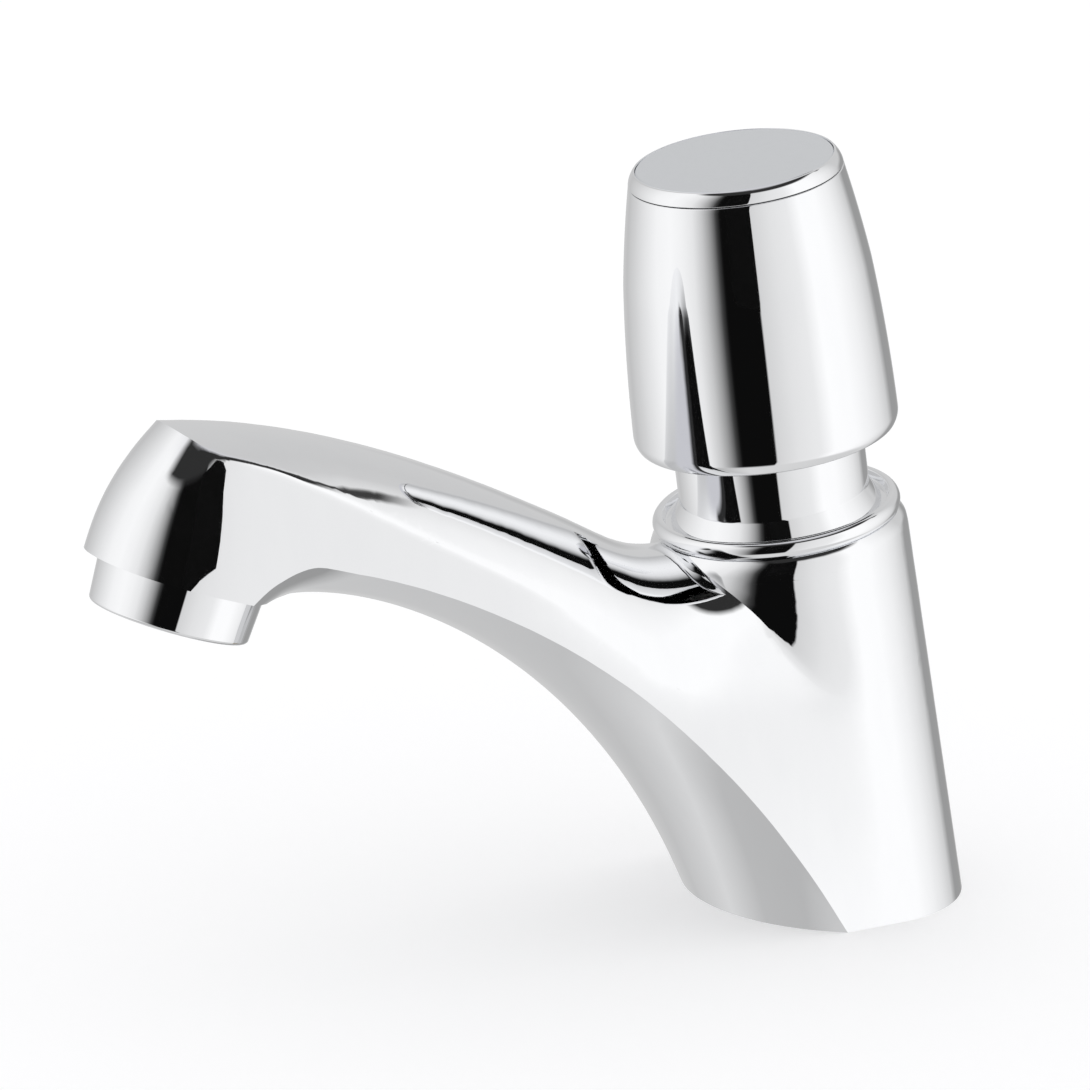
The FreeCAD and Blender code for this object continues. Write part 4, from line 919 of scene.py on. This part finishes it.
def extend(shape: Shape, loop: Edges, radius: float, height: float) -> Edges:
    """Extrude a loop round the Z axis to a level circle and return the circle's edges."""
    grown = bmesh.ops.extrude_edge_only(shape, edges=loop)["geom"]
    for item in grown:
        if isinstance(item, bmesh.types.BMVert):
            item.co.xy *= radius / item.co.xy.length
            item.co.z = height
    return [item for item in grown if isinstance(item, bmesh.types.BMEdge)]


@dataclass
class Tail:
    """Threaded inlet tail with the backnut and the washers that clamp the deck."""

    radius: float = 10.4775
    thread: Stops = ((9.32, 0.06), (10.4575, 0.40), (10.4575, 0.52), (9.32, 0.86), (9.32, 1.06))
    pitch: float = 1.814
    bore: float = 7.5
    length: float = 50.0
    engaged: float = 10.0
    runout: float = 2.0
    shank: float = 0.8
    chamfer: float = 0.8
    sides: int = 72
    weld: float = 0.002
    tail_sharp: float = 40.0
    deck: float = 22.0
    rubber: float = 3.0
    rubber_radius: float = 20.0
    rubber_round: float = 0.5
    steel: float = 1.5
    steel_radius: float = 18.5
    steel_round: float = 0.15
    washer_sides: int = 120
    nut_radius: float = 16.2
    nut_height: float = 7.0
    nut_flat: float = 16.2 * math.cos(math.pi / 6.0) - 0.25
    nut_slope: float = 30.0
    nut_cuts: int = 19
    nut_sharp: float = 28.0
    gap: float = 0.05

    def helix(self) -> Shape:
        """Screw one thread's section along the tail and past both of its ends."""
        turns = math.ceil((self.length - self.runout) / self.pitch) + 3
        start = -self.length - self.pitch * 1.5
        helix = bmesh.new()
        chain = [helix.verts.new((radius, 0.0, start + share * self.pitch)) for radius, share in self.thread]
        for before, after in zip(chain, chain[1:]):
            helix.edges.new((before, after))
        bmesh.ops.spin(
            helix, geom=[*helix.verts, *helix.edges], cent=(0.0, 0.0, 0.0), axis=(0.0, 0.0, 1.0),
            dvec=(0.0, 0.0, self.pitch / self.sides), angle=math.tau * turns, steps=self.sides * turns)
        bmesh.ops.remove_doubles(helix, verts=helix.verts, dist=self.weld)
        return helix

    def trim(self, helix: Shape, height: float, upward: float) -> Edges:
        """Cut the helix level, keep what lies above for 1 or below for -1, and return the cut's edges."""
        cut = bmesh.ops.bisect_plane(
            helix, geom=[*helix.verts, *helix.edges, *helix.faces], plane_co=(0.0, 0.0, height),
            plane_no=(0.0, 0.0, upward), clear_inner=True)
        return [item for item in cut["geom_cut"] if isinstance(item, bmesh.types.BMEdge)]

    def build_tail(self) -> None:
        """Trim the helix, chamfer its end and close it round the bore."""
        tail = self.helix()
        low, high = self.trim(tail, -self.length, 1.0), self.trim(tail, -self.runout, -1.0)
        for vertex in tail.verts:
            limit = self.radius - self.chamfer + vertex.co.z + self.length
            across = vertex.co.xy.length
            if across > limit:
                vertex.co.xy *= limit / across
        made = bmesh.ops.create_circle(
            tail, segments=self.sides, radius=self.bore, matrix=Matrix.Translation((0.0, 0.0, -self.length)))
        rings = [list(dict.fromkeys(edge for vertex in made["verts"] for edge in vertex.link_edges))]
        for radius, height in (
                (self.bore, self.engaged), (self.radius, self.engaged), (self.radius, self.shank - self.runout)):
            rings.append(extend(tail, rings[-1], radius, height))
        for cut, ring in ((low, rings[0]), (high, rings[-1])):
            bmesh.ops.triangle_fill(tail, use_beauty=True, edges=[*cut, *ring], normal=(0.0, 0.0, 1.0))
        bmesh.ops.recalc_face_normals(tail, faces=tail.faces)
        settle(tail, "threaded_tail", TAIL, Role("tap", "brass", ("inlet_tail",)), self.tail_sharp)

    def nut_wall(self, low: float) -> tuple[Shape, Edges, Edges]:
        """Raise the nut's six flats, chamfer their corners, and return them with their lower and upper edges."""
        nut = bmesh.new()
        made = bmesh.ops.create_circle(nut, segments=6, radius=self.nut_radius)
        turn = math.atan2(made["verts"][0].co.y, made["verts"][0].co.x)
        bmesh.ops.rotate(nut, cent=(0.0, 0.0, 0.0), matrix=Matrix.Rotation(-turn, 3, "Z"), verts=nut.verts)
        bmesh.ops.subdivide_edges(nut, edges=nut.edges, cuts=self.nut_cuts)
        foot = list(nut.edges)
        bmesh.ops.translate(nut, vec=(0.0, 0.0, low), verts=nut.verts)
        raised = bmesh.ops.extrude_edge_only(nut, edges=foot)["geom"]
        upper = [item for item in raised if isinstance(item, bmesh.types.BMVert)]
        bmesh.ops.translate(nut, vec=(0.0, 0.0, self.nut_height), verts=upper)
        for vertex in nut.verts:
            drop = max(0.0, vertex.co.xy.length - self.nut_flat) * math.tan(math.radians(self.nut_slope))
            vertex.co.z += drop if vertex.co.z < low + self.nut_height / 2.0 else -drop
        return nut, foot, [item for item in raised if isinstance(item, bmesh.types.BMEdge)]

    def build_nut(self) -> None:
        """Close the nut's faces with a chamfered bore."""
        top = -self.deck - self.rubber - self.steel
        low = top - self.nut_height
        bore = self.radius + self.gap
        nut, foot, crown = self.nut_wall(low)
        for loop, height, inward in ((foot, low, self.chamfer), (crown, top, -self.chamfer)):
            for radius, level in ((self.nut_flat, height), (bore + self.chamfer, height), (bore, height + inward)):
                loop = extend(nut, loop, radius, level)
        extend(nut, loop, bore, low + self.chamfer)
        bmesh.ops.remove_doubles(nut, verts=nut.verts, dist=DRAWN_WELD)
        bmesh.ops.recalc_face_normals(nut, faces=nut.faces)
        settle(nut, "hex_backnut", TAIL, Role("tap", "brass", ("backnut",)), self.nut_sharp)

    def build_washer(self, name: str, outer: float, top: float, thick: float, soft: float, role: Role) -> None:
        """Turn a flat washer under a height, with both its outer edges rounded."""
        bore = self.radius + self.gap
        washer = Outline(bore, top - thick).run((outer, top - thick, soft), (outer, top, soft), (bore, top))
        settle(washer.turn(self.washer_sides), name, TAIL, role)

    def build(self) -> None:
        """Build the tail, the nut and the two washers."""
        self.build_tail()
        self.build_nut()
        under = -self.deck - self.rubber
        rubber, steel = Role("tap", "rubber_black", ("rubber_washer",)), Role("tap", "zinc_plate", ("steel_washer",))
        self.build_washer("rubber_ring", self.rubber_radius, -self.deck, self.rubber, self.rubber_round, rubber)
        self.build_washer("clamp_washer", self.steel_radius, under, self.steel, self.steel_round, steel)


@dataclass
class Internals:
    """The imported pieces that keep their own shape: cartridge, spindle, seals, spring and hub."""

    outlet_nodes: tuple[str, ...] = ("aerator_mesh", "outlet_washer")
    tail_nodes: tuple[str, ...] = ("tail_seal", "base_gasket")

    def dress(self, frame: dict) -> None:
        """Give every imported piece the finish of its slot, laid along its own axis."""
        for name, node in frame["nodes"].items():
            axis = OUTLET if name in self.outlet_nodes else TAIL if name in self.tail_nodes else VALVE
            for place in node.material_slots:
                place.material = material_of(place.material.name, axis)
            LOG.info("%s: finished as packed", name)


@dataclass
class ReturnSpring:
    """The spring under the piston, which in the tap shortens by the button's stroke; here its imported coil is dressed
    as it is.
    """

    node: str = "return_spring"
    joint: str = "button_press"
    stroke: float = 8.0
    sharp: float = 40.0

    def build(self, frame: dict) -> None:
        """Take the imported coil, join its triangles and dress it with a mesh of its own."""
        shape = bmesh.new()
        shape.from_mesh(frame["nodes"][self.node].data)
        bmesh.ops.remove_doubles(shape, verts=shape.verts, dist=PACKED_WELD)
        spring = dress(shape, "coil_spring", VALVE, Role("tap", "stainless", (self.node,)), self.sharp)
        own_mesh(spring)


@dataclass(frozen=True)
class Shade:
    """A dark stretch of the cove: its share by bearing in degrees, its share by height, and its level."""

    bearings: Stops
    heights: Stops
    level: float


@dataclass
class Studio:
    """White cove with two soft windows, and the dark gap and hood round the camera that draw lines in the chrome."""

    floor_radius: float = 4.0
    floor_colour: Colour = (0.80, 0.80, 0.81)
    floor_lift: float = 0.30
    hood_right: Pair = (-0.100, -0.237)
    hood_left: Pair = (-0.210, -0.215)
    hood_low: float = 0.070
    hood_high: float = 0.320
    black: float = 0.004
    even_light: float = 0.9
    paper: Colour = (0.66, 0.66, 0.69)
    ceiling: Pair = (0.72, 0.96)
    ground: Pair = (-0.50, -0.66)
    cove: Stops = (
        (-180.0, 0.56), (-160.0, 0.68), (-140.0, 0.84), (-122.0, 0.98), (-104.0, 1.02), (-90.0, 0.96),
        (-78.0, 0.86), (-68.0, 0.62), (-60.0, 0.34), (-53.0, 0.05), (-49.0, 0.004), (-19.5, 0.004),
        (-18.5, 0.70), (0.0, 0.82), (20.0, 0.89), (34.0, 1.07), (55.0, 1.06), (75.0, 0.95),
        (90.0, 0.82), (105.0, 0.64), (120.0, 0.62), (150.0, 0.64), (180.0, 0.56))
    ground_ring: Stops = (
        (-180.0, 0.56), (-145.0, 0.72), (-112.0, 0.52), (-74.0, 0.50), (-45.0, 0.72), (100.0, 0.66), (180.0, 0.56))
    shades: tuple[Shade, ...] = (
        Shade(((-95.0, 0.0), (-80.0, 1.0), (84.0, 1.0), (96.0, 0.0)),
              ((0.70, 0.0), (0.745, 1.0), (0.84, 1.0), (0.93, 0.0)), 0.03),
        Shade(((83.0, 0.0), (86.0, 1.0), (91.0, 1.0), (94.0, 0.0)),
              ((0.62, 0.0), (0.66, 1.0), (0.84, 1.0), (0.90, 0.0)), 0.05),
        Shade(((104.0, 0.0), (114.0, 1.0), (134.0, 1.0), (148.0, 0.0)), ((0.02, 1.0), (0.16, 0.0)), 0.34),
    )

    def floor(self) -> None:
        """Lay the pale floor, which keeps the shadow and reads white behind it."""
        shape = bmesh.new()
        bmesh.ops.create_circle(shape, cap_ends=True, segments=64, radius=self.floor_radius)
        graph = Graph.of_material("cove_paper")
        fibre = graph.noise(graph.point(TAIL), 900.0, 3.0)
        shaded = tuple(value * 0.99 for value in self.floor_colour)
        paper = graph.surface(
            Roughness=0.9, Specular_IOR_Level=0.0, Base_Color=graph.blend(fibre, self.floor_colour, shaded))
        seen = graph.add("ShaderNodeLightPath").outputs["Is Camera Ray"]
        lift = graph.feed(graph.add("ShaderNodeEmission"), Strength=graph.reckon("MULTIPLY", seen, self.floor_lift))
        both = graph.join("ShaderNodeAddShader", paper.outputs[0], lift.outputs[0])
        graph.put(both, graph.tree.nodes["Material Output"].inputs["Surface"])
        floor = link_mesh(shape, "cove_floor", graph.owner)
        floor.visible_glossy = False

    def hood(self) -> None:
        """Stand the dark hood beside the camera, where only the chrome sees it."""
        left, right = Vector(self.hood_left), Vector(self.hood_right)
        along = right - left
        shape = bmesh.new()
        bmesh.ops.create_grid(shape, x_segments=1, y_segments=1, size=0.5)
        size = Matrix.Diagonal((along.length, self.hood_high - self.hood_low, 1.0, 1.0))
        upright = Matrix.Rotation(math.atan2(along.y, along.x), 4, "Z") @ Matrix.Rotation(math.pi / 2.0, 4, "X")
        place = Matrix.Translation((*(left + right) / 2.0, (self.hood_low + self.hood_high) / 2.0))
        bmesh.ops.transform(shape, matrix=place @ upright @ size, verts=shape.verts)
        graph = Graph.of_material("black_cloth")
        cloth = graph.noise(graph.point(TAIL), 400.0)
        graph.surface(
            Roughness=1.0, Specular_IOR_Level=0.0,
            Base_Color=graph.blend(cloth, (self.black,) * 3, (self.black * 2.0,) * 3))
        hood = link_mesh(shape, "camera_hood", graph.owner)
        hood.visible_camera = hood.visible_diffuse = hood.visible_shadow = hood.visible_transmission = False

    def cove_light(self, graph: Graph) -> Socket:
        """Return the cove's colour as the chrome sees it, by bearing and height."""
        part = graph.feed(
            graph.add("ShaderNodeSeparateXYZ"), Vector=graph.add("ShaderNodeTexCoord").outputs["Generated"])
        ahead = graph.reckon("MULTIPLY", part.outputs["Y"], -1.0)
        bearing = graph.reckon("ARCTAN2", part.outputs["X"], ahead)
        turn = graph.reckon("MULTIPLY_ADD", bearing, 1.0 / math.tau, 0.5)
        height = part.outputs["Z"]
        colour = graph.blend(graph.between(height, *self.ceiling), graph.ring(turn, self.cove), self.paper)
        colour = graph.blend(graph.between(height, *self.ground), colour, graph.ring(turn, self.ground_ring))
        for shade in self.shades:
            share = graph.reckon("MULTIPLY", graph.ring(turn, shade.bearings), graph.ramp(height, shade.heights))
            colour = graph.blend(share, colour, (shade.level,) * 3)
        return colour

    def sky(self) -> None:
        """Fill the cove with even light, white to the camera and shaped as the chrome sees it."""
        world = bpy.data.worlds.new("cove")
        bpy.context.scene.world = world
        graph = Graph(world)
        even = graph.feed(graph.tree.nodes["Background"], Color=WHITE, Strength=self.even_light)
        white = graph.feed(graph.add("ShaderNodeBackground"), Color=WHITE, Strength=1.0)
        cove = graph.feed(graph.add("ShaderNodeBackground"), Color=self.cove_light(graph), Strength=1.0)
        path = graph.add("ShaderNodeLightPath").outputs
        clear = graph.reckon("MAXIMUM", path["Is Camera Ray"], path["Is Transmission Ray"])
        light = even.outputs[0]
        for seen, background in ((path["Is Glossy Ray"], cove), (clear, white)):
            light = graph.join("ShaderNodeMixShader", seen, light, background.outputs[0])
        graph.put(light, graph.tree.nodes["World Output"].inputs["Surface"])
        bpy.context.scene.view_settings.view_transform = "Standard"

    def build(self) -> None:
        """Set up the floor, the hood and the light."""
        self.floor()
        self.hood()
        self.sky()


@dataclass
class View:
    """The camera, where the photograph was taken from."""

    bearing: float = -27.89
    height: float = 16.35
    distance: float = 1.2986
    target: tuple[float, float, float] = (-0.05469, 0.0, 0.06706)
    lens: float = 259.0

    def build(self) -> None:
        """Place the camera and make it the scene's own."""
        bearing, height = math.radians(self.bearing), math.radians(self.height)
        back = Vector((
            math.sin(bearing) * math.cos(height), -math.cos(bearing) * math.cos(height), math.sin(height)))
        data = bpy.data.cameras.new("view")
        data.lens = self.lens
        data.sensor_width = 36.0
        data.clip_start, data.clip_end = 0.01, 50.0
        camera = bpy.data.objects.new("view", data)
        bpy.context.scene.collection.objects.link(camera)
        camera.location = Vector(self.target) + back * self.distance
        camera.rotation_euler = (math.pi / 2.0 - height, 0.0, bearing)
        bpy.context.scene.camera = camera


def main() -> None:
    """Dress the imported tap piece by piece, then light it and place the camera."""
    logging.basicConfig(level=logging.INFO, format="%(message)s")
    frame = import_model()
    Internals().dress(frame)
    ReturnSpring().build(frame)
    BodyCasting().build(frame)
    Collar().build()
    Neck().build()
    PushButton().build()
    Aerator().build()
    Tail().build()
    Studio().build()
    View().build()


if __name__ == "__main__":
    main()
